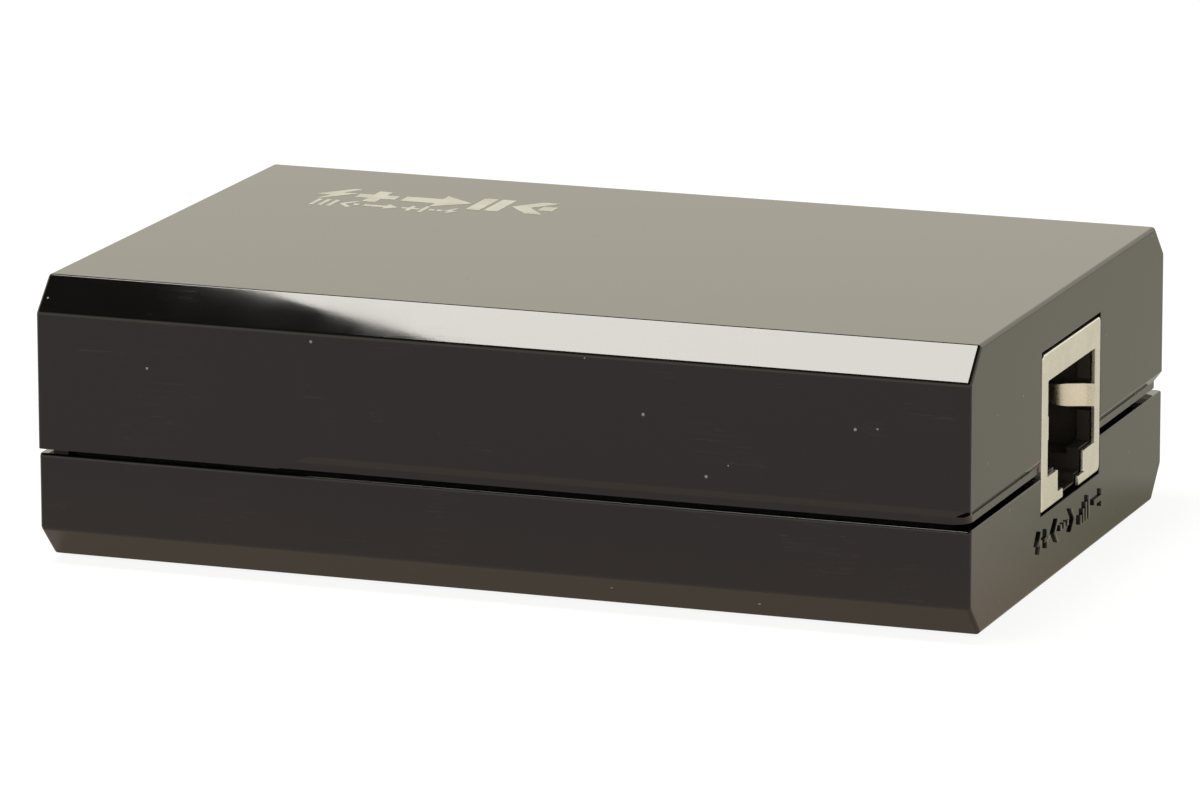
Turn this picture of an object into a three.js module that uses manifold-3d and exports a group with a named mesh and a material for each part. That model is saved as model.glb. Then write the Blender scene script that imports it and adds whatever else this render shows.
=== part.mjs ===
// Compact desktop PoE injector: two plastic shells around a board with two shielded network ports,
// a DC power socket and a status light. Millimetres, +Z up, origin at the middle of the underside.
// +X is the power-and-data-out end, -X is the data-in end, -Y is the front long side.
import * as THREE from "three";
import { mergeVertices } from "three/addons/utils/BufferGeometryUtils.js";
import Module from "manifold-3d";

const wasm = await Module();
wasm.setup();

// Housing
const bodyLength = 80.4;
const bodyWidth = 54;
const topZ = 24;
const baseZ = 0.3;
const wall = 1.8;
const chamfer = 2.7;
const sideInset = 0.2;
const seamLow = 9.5;
const seamHigh = 9.8;
const bandTop = 11.05;
const bandDepth = 0.3;
const bandCorner = 1.5;
const bandSlope = 0.55;
const rampStartX = -18.9;
const rampEndX = -16.25;
const tongueTop = 11.2;
const tongueDepth = 2.0;
const tongueThick = 0.9;
const rimLow = 7.6;
const markProud = 0.2;
const fitGap = 0.15;
const past = 1;

// Feet and label
const footRadius = 4;
const footTop = 0.85;
const footRecessTop = 0.9;
const footX = 32;
const footY = 18.5;
const labelLength = 36;
const labelWidth = 20;
const labelRecess = 0.25;
const labelThick = 0.15;

// Board
const boardLength = 74.2;
const boardWidth = 47.6;
const boardLow = 4.9;
const boardTop = 6.5;
const postX = 29;
const postY = 20.3;
const postRadius = 3;
const pegRadius = 1.2;
const boardHole = 1.4;
const screwShank = 1.0;
const screwBore = 1.15;
const screwHead = 2.3;

// Network ports, in a frame with x = 0 at the mouth, facing +x, and z = 0 on the board
const jackWidth = 16.1;
const jackHeight = 13.1;
const jackDepth = 21;
const jackProud = 0.05;
const sheet = 0.3;
const windowHalf = 6.57;
const windowTop = 10.7;
const shoulderZ = 2.7;
const latchHalf = 3.7;
const stepZ = 0.85;
const notchHalf = 2.25;
const cavityDepth = 14.2;
const insertInset = 0.15;
const lipDepth = 1.5;
const recessHalf = 7;
const contactPitch = 1.02;
const contactWidth = 0.46;
const contactThick = 0.3;
const contactBend = { x: -2.7, z: 11.1, radius: 0.5 };
const contactTip = { x: -12.2, z: 7.25 };
const springLow = 5.76;
const springHigh = 7.75;
const springThick = 0.2;
const wayLow = springLow - 0.35;
const wayHigh = springHigh + 0.35;
const outJackY = 0.3;
const inJackY = -8;

// Power socket, in the same kind of frame
const powerJackY = 12;
const socketWidth = 9;
const socketHeight = 11;
const socketDepth = 14.2;
const socketBore = 3.2;
const socketAxisZ = 6.5;
const socketBoreDepth = 10.5;
const socketPin = 1;

// Status light
const lightY = 20.5;
const lightZ = 14;
const lightRadius = 1.3;

const colours = {
  shell: [0x1b1a19, 0.3, 0],
  rubber: [0x232323, 0.9, 0],
  label: [0xc9c9c4, 0.6, 0],
  board: [0x1f5a34, 0.5, 0],
  steel: [0xc9c4b4, 0.3, 1],
  portPlastic: [0x0d0d0d, 0.5, 0],
  contact: [0xcfa852, 0.25, 1],
  pin: [0xc8c8c8, 0.25, 1],
  lightPipe: [0xe4e8e6, 0.2, 0],
  led: [0xdfe3c8, 0.4, 0],
  package: [0x18181a, 0.6, 0],
  canSleeve: [0x22283a, 0.4, 0],
  ferrite: [0x3a3a3c, 0.7, 0],
  copper: [0xa8552c, 0.35, 1],
  fuse: [0xd8d4c8, 0.6, 0],
};

const injector = new THREE.Group();

// Adds one named sub-part to a group.
function addPart(name, geometry, colour, parent = injector) {
  const [color, roughness, metalness] = colours[colour];
  const material = new THREE.MeshStandardMaterial({ color, roughness, metalness });
  const mesh = new THREE.Mesh(geometry, material);
  mesh.name = name;
  parent.add(mesh);
  return mesh;
}

// A closed three.js geometry as a solid.
function solid(geometry) {
  const bare = geometry.clone();
  bare.deleteAttribute("normal");
  bare.deleteAttribute("uv");
  const merged = mergeVertices(bare, 1e-4);
  return new wasm.Manifold(
    new wasm.Mesh({
      numProp: 3,
      vertProperties: new Float32Array(merged.attributes.position.array),
      triVerts: new Uint32Array(merged.index.array),
    }),
  );
}

// A solid as a three.js geometry.
function geometryOf(made) {
  const mesh = made.getMesh();
  const geometry = new THREE.BufferGeometry();
  geometry.setAttribute("position", new THREE.BufferAttribute(mesh.vertProperties, 3));
  geometry.setIndex(new THREE.BufferAttribute(mesh.triVerts, 1));
  const flat = geometry.toNonIndexed();
  flat.computeVertexNormals();
  return flat;
}

function join(solids) {
  return solids.reduce((sum, next) => sum.add(next));
}

function cut(from, solids) {
  return solids.reduce((rest, next) => rest.subtract(next), from);
}

// A box between two corners.
function box(x0, x1, y0, y1, z0, z1) {
  const geometry = new THREE.BoxGeometry(x1 - x0, y1 - y0, z1 - z0);
  geometry.translate((x0 + x1) / 2, (y0 + y1) / 2, (z0 + z1) / 2);
  return geometry;
}

function shapeOf(points) {
  return new THREE.Shape(points.map(([u, v]) => new THREE.Vector2(u, v)));
}

function extruded(points, length) {
  return new THREE.ExtrudeGeometry(shapeOf(points), { depth: length, bevelEnabled: false });
}

// A prism along X of an outline in (y, z).
function prismX(points, x0, x1) {
  const toX = new THREE.Matrix4().makeBasis(
    new THREE.Vector3(0, 1, 0),
    new THREE.Vector3(0, 0, 1),
    new THREE.Vector3(1, 0, 0),
  );
  return extruded(points, x1 - x0).applyMatrix4(toX).translate(x0, 0, 0);
}

// A prism along Y of an outline in (x, z).
function prismY(points, y0, y1) {
  return extruded(points, y1 - y0).rotateX(Math.PI / 2).translate(0, y1, 0);
}

// A prism along Z of an outline in (x, y).
function prismZ(points, z0, z1) {
  return extruded(points, z1 - z0).translate(0, 0, z0);
}

function cylinderZ(radius, x, y, z0, z1, sides = 24) {
  const geometry = new THREE.CylinderGeometry(radius, radius, z1 - z0, sides);
  return geometry.rotateX(Math.PI / 2).translate(x, y, (z0 + z1) / 2);
}

function cylinderX(radius, x0, x1, y, z, sides = 24) {
  const geometry = new THREE.CylinderGeometry(radius, radius, x1 - x0, sides);
  return geometry.rotateZ(Math.PI / 2).translate((x0 + x1) / 2, y, z);
}

// A turned piece about Z, from a profile of (radius, z).
function turned(profile, x, y, sides = 28) {
  const points = profile.map(([r, z]) => new THREE.Vector2(r, z));
  return new THREE.LatheGeometry(points, sides).rotateX(Math.PI / 2).translate(x, y, 0);
}

// The outline of a bent strip of even thickness that follows a path.
function strip(path, thickness) {
  const left = [];
  const right = [];
  path.forEach(([u, v], i) => {
    const [u0, v0] = path[Math.max(i - 1, 0)];
    const [u1, v1] = path[Math.min(i + 1, path.length - 1)];
    const run = Math.hypot(u1 - u0, v1 - v0);
    const du = (-(v1 - v0) / run) * (thickness / 2);
    const dv = ((u1 - u0) / run) * (thickness / 2);
    left.push([u + du, v + dv]);
    right.push([u - du, v - dv]);
  });
  return [...left, ...right.reverse()];
}

// Points along an arc in the plane of a strip's path, angles in degrees.
function arc(u, v, radius, from, to, steps) {
  return Array.from({ length: steps + 1 }, (_, i) => {
    const angle = THREE.MathUtils.degToRad(from + ((to - from) * i) / steps);
    return [u + radius * Math.cos(angle), v + radius * Math.sin(angle)];
  });
}

function mirrorY(points) {
  return points.map(([y, z]) => [-y, z]).reverse();
}

const halfLength = bodyLength / 2;
const halfWidth = bodyWidth / 2;

// The top cover's section, open at the seam: grow is how far it lies inside the outer face.
function coverOutline(grow, lowZ) {
  const half = halfWidth - grow;
  const corner = chamfer - grow * (2 - Math.SQRT2);
  const right = [
    [half, lowZ],
    [half, topZ - grow - corner],
    [half - corner, topZ - grow],
  ];
  return [...right, ...mirrorY(right)];
}

// The base's section, closed at the seam or past it.
function baseOutline(grow, highZ) {
  const half = halfWidth - sideInset - grow;
  const corner = chamfer - grow * (2 - Math.SQRT2);
  const right = [
    [half - corner, baseZ + grow],
    [half, baseZ + grow + corner],
    [half, highZ],
  ];
  return [...right, ...mirrorY(right)];
}

// Where the ports and the power socket pass through the end walls.
function portWindows() {
  const half = jackWidth / 2 + fitGap;
  const low = boardTop - fitGap;
  const high = boardTop + jackHeight + fitGap;
  const socketHalf = socketWidth / 2 + fitGap;
  const inner = halfLength - 4;
  const outer = halfLength + past;
  return [
    box(inner, outer, outJackY - half, outJackY + half, low, high),
    box(-outer, -inner, inJackY - half, inJackY + half, low, high),
    box(
      -outer,
      -inner,
      powerJackY - socketHalf,
      powerJackY + socketHalf,
      low,
      boardTop + socketHeight + fitGap,
    ),
  ].map(solid);
}

// One snap arm of the cover: a rib on the wall and an arm that hooks under the base's rim.
function snapArm(x, side) {
  const armHalf = 3;
  const armDepth = 3.1;
  const armThick = 1;
  const hookLow = 6.75;
  const hookHigh = rimLow - 0.2;
  const hookDepth = 2.3;
  const outline = [
    [wall - 0.1, topZ - wall],
    [wall - 0.1, tongueTop + 0.3],
    [armDepth, tongueTop + 0.3],
    [armDepth, hookHigh],
    [hookDepth, hookHigh],
    [armDepth, hookLow],
    [armDepth + armThick, hookLow],
    [armDepth + armThick, topZ - wall + 0.1],
  ].map(([depth, z]) => [halfWidth - depth, z]);
  const points = side > 0 ? outline : mirrorY(outline);
  return solid(prismX(points, x - armHalf, x + armHalf));
}

// The body's outline in plan, drawn inwards and with rounded corners.
function planOutline(inset, radius) {
  const u = halfLength - inset - radius;
  const v = halfWidth - inset - radius;
  const corners = [
    [u, v, 0],
    [-u, v, 90],
    [-u, -v, 180],
    [u, -v, 270],
  ];
  return corners.flatMap(([x, y, from]) => arc(x, y, radius, from, from + 90, 6));
}

// The shallow band above the seam, with a sloped upper edge and rounded corners: it runs from the ramp
// on each long side to the out end, and across that end.
function bandCut() {
  const outerX = halfLength + past;
  const outerY = halfWidth + past;
  const slopeLow = bandTop - bandSlope;
  const thin = 0.01;
  const slab = solid(box(-outerX, outerX, -outerY, outerY, seamHigh - past, bandTop));
  const core = solid(prismZ(planOutline(bandDepth, bandCorner), seamHigh - 2 * past, slopeLow));
  const slope = wasm.Manifold.hull([
    solid(prismZ(planOutline(bandDepth, bandCorner), slopeLow - thin, slopeLow)),
    solid(prismZ(planOutline(0, thin), bandTop, bandTop + thin)),
  ]);
  const ramp = [
    [rampStartX, seamHigh - past],
    [outerX, seamHigh - past],
    [outerX, bandTop + past],
    [rampEndX, bandTop],
    [rampStartX, seamHigh],
  ];
  const lengthways = solid(prismY(ramp, -outerY, outerY));
  return cut(slab, [core, slope]).intersect(lengthways);
}

function upperShell() {
  const skin = solid(prismX(coverOutline(0, seamHigh), -halfLength, halfLength));
  const inner = halfLength - wall;
  const hollow = solid(prismX(coverOutline(wall, seamHigh - past), -inner, inner));
  const lightHole = solid(
    cylinderX(lightRadius + fitGap, -halfLength - past, -inner + past, lightY, lightZ),
  );
  const shell = cut(skin, [hollow, bandCut()]);
  const armX = 22;
  const arms = [
    [armX, 1],
    [armX, -1],
    [-armX, 1],
    [-armX, -1],
  ].map(([x, side]) => snapArm(x, side));
  return geometryOf(cut(join([shell, ...arms]), [...portWindows(), lightHole]));
}

// Raised pictograms on the base's end face, as outlines in (across, up) that start at across = 0.
const bolt = [
  [0.9, 2],
  [0.1, 0.85],
  [0.75, 0.85],
  [0.5, 0],
  [1.5, 1.2],
  [0.85, 1.2],
  [1.2, 2],
];
const plus = [
  [0.5, 0.2],
  [0.9, 0.2],
  [0.9, 0.8],
  [1.5, 0.8],
  [1.5, 1.2],
  [0.9, 1.2],
  [0.9, 1.8],
  [0.5, 1.8],
  [0.5, 1.2],
  [-0.1, 1.2],
  [-0.1, 0.8],
  [0.5, 0.8],
];
const chevron = [
  [0, 1],
  [1, 0],
  [1.5, 0],
  [0.55, 1],
  [1.5, 2],
  [1, 2],
];
const arrow = [
  [0, 0.75],
  [2, 0.75],
  [2, 0.2],
  [3.2, 1],
  [2, 1.8],
  [2, 1.25],
  [0, 1.25],
];
const bar = [
  [0, 0],
  [0.4, 0],
  [0.4, 2],
  [0, 2],
];
const dot = [
  [0, 0.75],
  [0.5, 0.75],
  [0.5, 1.25],
  [0, 1.25],
];

function flipped(points, width) {
  return points.map(([u, v]) => [width - u, v]).reverse();
}

// Network glyph: two chevrons with three dots between them.
const networkGlyph = [
  [chevron, 0],
  [dot, 2.1],
  [dot, 3.2],
  [dot, 4.3],
  [flipped(chevron, 1.5), 5.4],
];

// Four bars that step up.
const signalBars = [0.8, 1.2, 1.6, 2].map((high, i) => [
  [
    [0, 0],
    [0.4, 0],
    [0.4, high],
    [0, high],
  ],
  0.75 * i,
]);

const markLow = 3.15;
const outMarks = [
  [bolt, 0],
  [plus, 2.1],
  ...networkGlyph.map(([glyph, at]) => [glyph, at * 0.85 + 4.6]),
  ...signalBars.map(([glyph, at]) => [glyph, at + 12]),
  [arrow, 15.9],
];
const inMarks = [
  [arrow, 0],
  [bar, 3.6],
  ...networkGlyph.map(([glyph, at]) => [glyph, at + 6]),
];
const powerMarks = [
  [bolt, 0],
  [dot, 3],
  [bar, 4.6],
];

// Places a row of marks on an end face: end is +1 or -1, and across runs left to right as it is read.
function markSolids(marks, end, startY) {
  const face = end * halfLength;
  const faces = [face - end * 0.3, face + end * markProud].sort((a, b) => a - b);
  return marks.map(([points, at]) => {
    const placed = points.map(([u, v]) => [startY + end * (at + u), markLow + v]);
    return solid(prismX(end > 0 ? placed : placed.reverse(), ...faces));
  });
}

const postPlaces = [
  { x: postX, y: postY, screwed: true },
  { x: -postX, y: postY, screwed: false },
  { x: -postX, y: -postY, screwed: true },
  { x: postX, y: -postY, screwed: false },
];
const footPlaces = {
  foot_front_left: [-footX, -footY],
  foot_front_right: [footX, -footY],
  foot_rear_left: [-footX, footY],
  foot_rear_right: [footX, footY],
};

function lowerShell() {
  const half = halfLength;
  const floorZ = baseZ + wall;
  const skin = solid(prismX(baseOutline(0, seamLow), -half, half));
  const inner = half - wall;
  const hollow = solid(prismX(baseOutline(wall, seamLow + past), -inner, inner));
  const tongueX = halfLength - tongueDepth;
  const tongueY = halfWidth - tongueDepth;
  const grip = 0.3;
  const rim = cut(
    join([
      solid(box(-inner - grip, inner + grip, -tongueY - grip, tongueY + grip, rimLow, seamLow)),
      solid(box(-tongueX, tongueX, -tongueY, tongueY, rimLow, tongueTop)),
    ]),
    [
      solid(
        box(
          -tongueX + tongueThick,
          tongueX - tongueThick,
          -tongueY + tongueThick,
          tongueY - tongueThick,
          rimLow - past,
          tongueTop + past,
        ),
      ),
    ],
  );
  const posts = postPlaces.map(({ x, y, screwed }) => {
    const post = solid(cylinderZ(postRadius, x, y, floorZ - grip, boardLow - 0.05));
    const peg = solid(cylinderZ(pegRadius, x, y, floorZ, boardTop + 0.9, 16));
    const bore = solid(cylinderZ(screwBore, x, y, floorZ, boardTop, 16));
    return screwed ? post.subtract(bore) : post.add(peg);
  });
  const recesses = Object.values(footPlaces).map(([x, y]) =>
    solid(cylinderZ(footRadius + 0.2, x, y, baseZ - past, footRecessTop, 28)),
  );
  const labelPlace = solid(
    box(
      -labelLength / 2,
      labelLength / 2,
      -labelWidth / 2,
      labelWidth / 2,
      baseZ - past,
      baseZ + labelRecess,
    ),
  );
  const marks = [
    ...markSolids(outMarks, 1, -9.4),
    ...markSolids(inMarks, -1, -1.4),
    ...markSolids(powerMarks, -1, 14.6),
  ];
  const shell = join([cut(skin, [hollow]), rim, ...posts, ...marks]);
  return geometryOf(cut(shell, [...portWindows(), ...recesses, labelPlace]));
}

addPart("upper_shell", upperShell(), "shell");
addPart("lower_shell", lowerShell(), "shell");

for (const [name, [x, y]] of Object.entries(footPlaces)) {
  addPart(name, cylinderZ(footRadius, x, y, 0, footTop, 28), "rubber");
}
const labelInset = 0.3;
addPart(
  "rating_label",
  box(
    -labelLength / 2 + labelInset,
    labelLength / 2 - labelInset,
    -labelWidth / 2 + labelInset,
    labelWidth / 2 - labelInset,
    baseZ + labelRecess - 0.02 - labelThick,
    baseZ + labelRecess - 0.02,
  ),
  "label",
);

// Circuit board with a hole at each post
const boardBlank = solid(
  box(-boardLength / 2, boardLength / 2, -boardWidth / 2, boardWidth / 2, boardLow, boardTop),
);
const boardHoles = postPlaces.map(({ x, y }) =>
  solid(cylinderZ(boardHole, x, y, boardLow - past, boardTop + past, 16)),
);
addPart("circuit_board", geometryOf(cut(boardBlank, boardHoles)), "board");

postPlaces
  .filter((place) => place.screwed)
  .forEach(({ x, y }, i) => {
    const head = boardTop + 0.02;
    const profile = [
      [0, head - 4],
      [screwShank, head - 4],
      [screwShank, head],
      [screwHead, head],
      [screwHead, head + 0.9],
      [screwHead * 0.75, head + 1.5],
      [0, head + 1.6],
    ];
    addPart(`board_screw_${i + 1}`, turned(profile, x, y, 16), "pin");
  });

// The port's mouth, with the stepped slot for the plug's latch. inset draws the edges inwards.
function mouthOutline(inset, lowZ) {
  const right = [
    [notchHalf - inset, lowZ],
    [notchHalf - inset, stepZ + inset],
    [latchHalf - inset, stepZ + inset],
    [latchHalf - inset, shoulderZ + inset],
    [windowHalf - inset, shoulderZ + inset],
    [windowHalf - inset, windowTop],
  ];
  return [...right, ...mirrorY(right)];
}

function jackShield() {
  const half = jackWidth / 2;
  const skin = solid(box(-jackDepth, 0, -half, half, 0.02, jackHeight));
  const inside = solid(
    box(-jackDepth + sheet, -sheet, -half + sheet, half - sheet, -past, jackHeight - sheet),
  );
  const mouth = solid(prismX(mouthOutline(0, -past), -past, past));
  return geometryOf(cut(skin, [inside, mouth]));
}

function jackInsert() {
  const gap = 0.15;
  const half = jackWidth / 2 - sheet - gap;
  const front = -sheet - gap;
  const block = solid(
    box(-jackDepth + sheet + gap, front, -half, half, 0.1, jackHeight - sheet - gap),
  );
  const mouth = solid(prismX(mouthOutline(insertInset, -past), -cavityDepth, past));
  const sideRecess = solid(
    box(-cavityDepth, -lipDepth, -recessHalf, recessHalf, shoulderZ + 1, windowTop),
  );
  const pocketHalf = 4 * contactPitch + 0.3;
  const pocket = solid(
    box(-cavityDepth + 0.4, contactBend.x + 1, -pocketHalf, pocketHalf, windowTop, 12.3),
  );
  const springWays = solid(box(-lipDepth - 0.1, past, -recessHalf, recessHalf, wayLow, wayHigh));
  return geometryOf(cut(block, [mouth, sideRecess, springWays, pocket]));
}

// One sprung contact wire: a hook at the front, then a slope back and down to its free end.
function contactWire() {
  const { x, z, radius } = contactBend;
  const slope = THREE.MathUtils.radToDeg(Math.atan2(z - contactTip.z, x - contactTip.x));
  const hook = arc(x, z, radius, 130, -90 + slope - 8, 5);
  const path = [...hook, [contactTip.x + 0.9, contactTip.z + 0.1], [contactTip.x, contactTip.z + 0.3]];
  return prismY(strip(path, contactThick).reverse(), -contactWidth / 2, contactWidth / 2);
}

// One side grounding leaf: folded in at the mouth, sloping inwards and turned out at its end.
function groundSpring(side) {
  const path = [
    [-0.12, windowHalf - 0.15],
    [-0.45, windowHalf - 0.18],
    [-0.9, windowHalf - 0.32],
    [-3, 5.35],
    [-3.7, 5.6],
  ];
  const outline = strip(path, springThick);
  const points = side > 0 ? outline : outline.map(([x, y]) => [x, -y]).reverse();
  return prismZ(points, springLow, springHigh);
}

function addPort(prefix, x, y, turn) {
  const port = new THREE.Group();
  port.position.set(x, y, boardTop);
  port.rotation.z = turn;
  injector.add(port);
  addPart(`${prefix}_jack_shield`, jackShield(), "steel", port);
  addPart(`${prefix}_jack_insert`, jackInsert(), "portPlastic", port);
  for (let i = 1; i <= 8; i += 1) {
    const wire = addPart(`${prefix}_contact_${i}`, contactWire(), "contact", port);
    wire.position.y = (i - 4.5) * contactPitch;
  }
  addPart(`${prefix}_ground_spring_left`, groundSpring(-1), "steel", port);
  addPart(`${prefix}_ground_spring_right`, groundSpring(1), "steel", port);
}

const mouthX = halfLength + jackProud;
addPort("out", mouthX, outJackY, 0);
addPort("in", -mouthX, inJackY, Math.PI);

// DC power socket
const socket = new THREE.Group();
socket.position.set(-mouthX, powerJackY, boardTop);
socket.rotation.z = Math.PI;
injector.add(socket);

const slotHalf = 1.2;
const slotLow = 1;
const socketBlock = solid(
  box(-socketDepth, 0, -socketWidth / 2, socketWidth / 2, 0.02, socketHeight),
);
const socketHollow = solid(cylinderX(socketBore, -socketBoreDepth, past, 0, socketAxisZ, 32));
const springSlot = solid(box(-13.2, -1.5, -slotHalf, slotHalf, slotLow, socketAxisZ - 2.4));
addPart(
  "power_jack_housing",
  geometryOf(cut(socketBlock, [socketHollow, springSlot])),
  "portPlastic",
  socket,
);

const pinTip = 0.5;
const pinProfile = [
  [0, 0],
  [socketPin, 0],
  [socketPin, 8.4],
  [socketPin - pinTip, 8.4 + pinTip],
  [0, 8.4 + pinTip],
];
const pin = addPart("power_jack_pin", turned(pinProfile, 0, 0, 20), "pin", socket);
pin.position.set(-socketBoreDepth + 0.05, 0, socketAxisZ);
pin.rotation.y = Math.PI / 2;

const sleevePath = [
  [-12.6, 2],
  [-8.5, 2.6],
  [-5.4, 3.75],
  [-4.6, 3.85],
  [-3.8, 3.7],
  [-2.8, 3],
];
addPart(
  "power_jack_spring",
  prismY(strip(sleevePath, 0.25).reverse(), -slotHalf + 0.25, slotHalf - 0.25),
  "pin",
  socket,
);

// Light pipe from the board's LED to the end wall
const pipeX = -36;
const pipeHalf = 1.2;
const pipeColumn = solid(
  prismY(
    [
      [pipeX - pipeHalf, 7.6],
      [pipeX + pipeHalf, 7.6],
      [pipeX + pipeHalf, lightZ - 0.9],
      [pipeX - pipeHalf + 0.3, lightZ + lightRadius],
      [pipeX - pipeHalf, lightZ + lightRadius],
    ],
    lightY - pipeHalf,
    lightY + pipeHalf,
  ),
);
const pipeRod = solid(cylinderX(lightRadius, -halfLength + 0.05, pipeX - 0.5, lightY, lightZ, 20));
addPart("light_pipe", geometryOf(pipeColumn.add(pipeRod)), "lightPipe");

// Board-mounted components as [name, colour, x, y, length, width, height], with a small stand-off
const standOff = 0.1;
const packages = [
  ["status_led", "led", pipeX, lightY, 2, 1.4, 0.8],
  ["magnetics_module", "package", -4.5, -8, 17, 14, 7.4],
  ["controller_chip", "package", 11.5, -3, 4, 10, 1.7],
  ["power_transistor", "package", 11.5, -15, 6.1, 6.6, 2.3],
  ["rectifier_diode", "package", -19.2, 5, 4, 6.8, 2.3],
  ["surge_suppressor", "package", -19.2, 13.2, 4, 5.4, 2.3],
  ["input_fuse", "fuse", -14.5, 20, 6, 2.6, 2.4],
];
for (const [name, colour, x, y, length, width, height] of packages) {
  const z = boardTop + standOff;
  const block = box(
    x - length / 2,
    x + length / 2,
    y - width / 2,
    y + width / 2,
    z,
    z + height,
  );
  addPart(name, block, colour);
}

function canGeometry(x, y, radius, height) {
  const z = boardTop + standOff;
  const profile = [
    [0, z],
    [radius * 0.94, z],
    [radius, z + 0.6],
    [radius, z + 1.4],
    [radius * 0.94, z + 1.9],
    [radius, z + 2.4],
    [radius, z + height - 0.5],
    [radius - 0.5, z + height],
    [0, z + height],
  ];
  return turned(profile, x, y, 28);
}
addPart("bulk_capacitor", canGeometry(12.5, 13.5, 5, 12.5), "canSleeve");
addPart("output_capacitor", canGeometry(2, 15, 4, 11.2), "canSleeve");

const coilX = -9;
const coilY = 10;
const coreZ = boardTop + standOff;
const flangeRadius = 5;
const hubRadius = 2.4;
const coreProfile = [
  [0, coreZ],
  [flangeRadius, coreZ],
  [flangeRadius, coreZ + 1.3],
  [hubRadius, coreZ + 1.3],
  [hubRadius, coreZ + 5.2],
  [flangeRadius, coreZ + 5.2],
  [flangeRadius, coreZ + 6.5],
  [0, coreZ + 6.5],
];
addPart("inductor_core", turned(coreProfile, coilX, coilY), "ferrite");
const windingProfile = [
  [hubRadius + 0.1, coreZ + 1.4],
  [flangeRadius - 0.4, coreZ + 1.4],
  [flangeRadius - 0.4, coreZ + 5.1],
  [hubRadius + 0.1, coreZ + 5.1],
  [hubRadius + 0.1, coreZ + 1.4],
];
addPart("inductor_winding", turned(windingProfile, coilX, coilY), "copper");

export default injector;
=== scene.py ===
import math
import bpy
import bmesh
from mathutils import Matrix, Vector


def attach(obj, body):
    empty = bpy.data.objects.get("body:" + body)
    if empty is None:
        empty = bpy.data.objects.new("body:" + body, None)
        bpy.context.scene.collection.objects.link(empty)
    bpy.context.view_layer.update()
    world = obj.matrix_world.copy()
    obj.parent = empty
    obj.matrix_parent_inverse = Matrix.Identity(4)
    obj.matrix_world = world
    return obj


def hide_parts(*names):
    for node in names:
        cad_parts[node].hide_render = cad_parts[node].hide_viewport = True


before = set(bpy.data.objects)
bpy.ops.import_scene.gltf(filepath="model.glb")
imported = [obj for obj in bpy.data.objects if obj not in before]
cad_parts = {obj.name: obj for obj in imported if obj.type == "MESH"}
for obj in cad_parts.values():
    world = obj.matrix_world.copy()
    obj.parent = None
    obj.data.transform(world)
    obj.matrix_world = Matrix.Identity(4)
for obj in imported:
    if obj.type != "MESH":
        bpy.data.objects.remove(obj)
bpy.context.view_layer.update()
scene = bpy.context.scene
mm = 0.001
print("frame loaded,", len(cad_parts), "CAD nodes")

# camera, world, lights and floor

cameraView = {
    "position": (0.23441, -0.641569, 0.168294),
    "forward": (-0.33548, 0.915, -0.22413),
    "right": (0.93901, 0.34388, -0.00164),
    "lens": 251.55,
    "sensorWidth": 36.0,
}
studio = {
    "horizonColour": (1.0, 0.948, 0.80),
    "horizonStrength": 1.12,
    "zenithColour": (0.045, 0.045, 0.045),
    "fadeFrom": 0.42,
    "fadeTo": 0.76,
    "softboxCentre": (-0.2507, -0.1373, 1.0),
    "softboxSize": (0.5, 0.35),
    "softboxTurn": -24.5,
    "softboxPower": 8.9,
    "softboxColour": (1.0, 0.97, 0.9),
    "floorSize": 8.0,
    "floorHeight": -0.00002,
    "floorColour": (0.3, 0.28, 0.32),
    "floorSpan": 0.1,
    "floorBounce": [
        (-0.06, (0.39, 0.32, 0.31)),
        (-0.028, (0.49, 0.40, 0.295)),
        (-0.015, (0.49, 0.40, 0.295)),
        (0.02, (0.345, 0.345, 0.215)),
    ],
    "floorGlow": 0.9,
    "floorShade": 0.16,
}


def put(tree, kind, inputs=None, **settings):
    # adds a node: a socket given as an input is linked, anything else is its value
    node = tree.nodes.new(kind)
    for name, value in settings.items():
        setattr(node, name, value)
    for key, value in (inputs or {}).items():
        if isinstance(value, bpy.types.NodeSocket):
            tree.links.new(value, node.inputs[key])
        else:
            node.inputs[key].default_value = value
    return node


def noise(tree, vector, scale, detail):
    inputs = {"Vector": vector, "Scale": scale, "Detail": detail}
    return put(tree, "ShaderNodeTexNoise", inputs).outputs["Fac"]


def bumpNormal(tree, height, strength, distance):
    inputs = {"Height": height, "Strength": strength, "Distance": distance * mm}
    return put(tree, "ShaderNodeBump", inputs).outputs["Normal"]


def mixShaders(tree, factor, first, second):
    inputs = {0: factor, 1: first.outputs[0], 2: second.outputs[0]}
    return put(tree, "ShaderNodeMixShader", inputs)


def between(tree, value, low, high, start=0.3, end=0.7):
    # a value's range from start to end becomes low to high
    inputs = {"Value": value, "From Min": start, "From Max": end, "To Min": low, "To Max": high}
    return put(tree, "ShaderNodeMapRange", inputs).outputs["Result"]


def makeCamera():
    data = bpy.data.cameras.new("camera")
    data.lens = cameraView["lens"]
    data.sensor_width = cameraView["sensorWidth"]
    data.clip_start = 0.01
    data.clip_end = 50
    camera = bpy.data.objects.new("camera", data)
    scene.collection.objects.link(camera)
    forward = Vector(cameraView["forward"]).normalized()
    right = Vector(cameraView["right"]).normalized()
    up = right.cross(forward)
    turn = Matrix((right, up, -forward)).transposed().to_4x4()
    camera.matrix_world = Matrix.Translation(cameraView["position"]) @ turn
    scene.camera = camera


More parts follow.
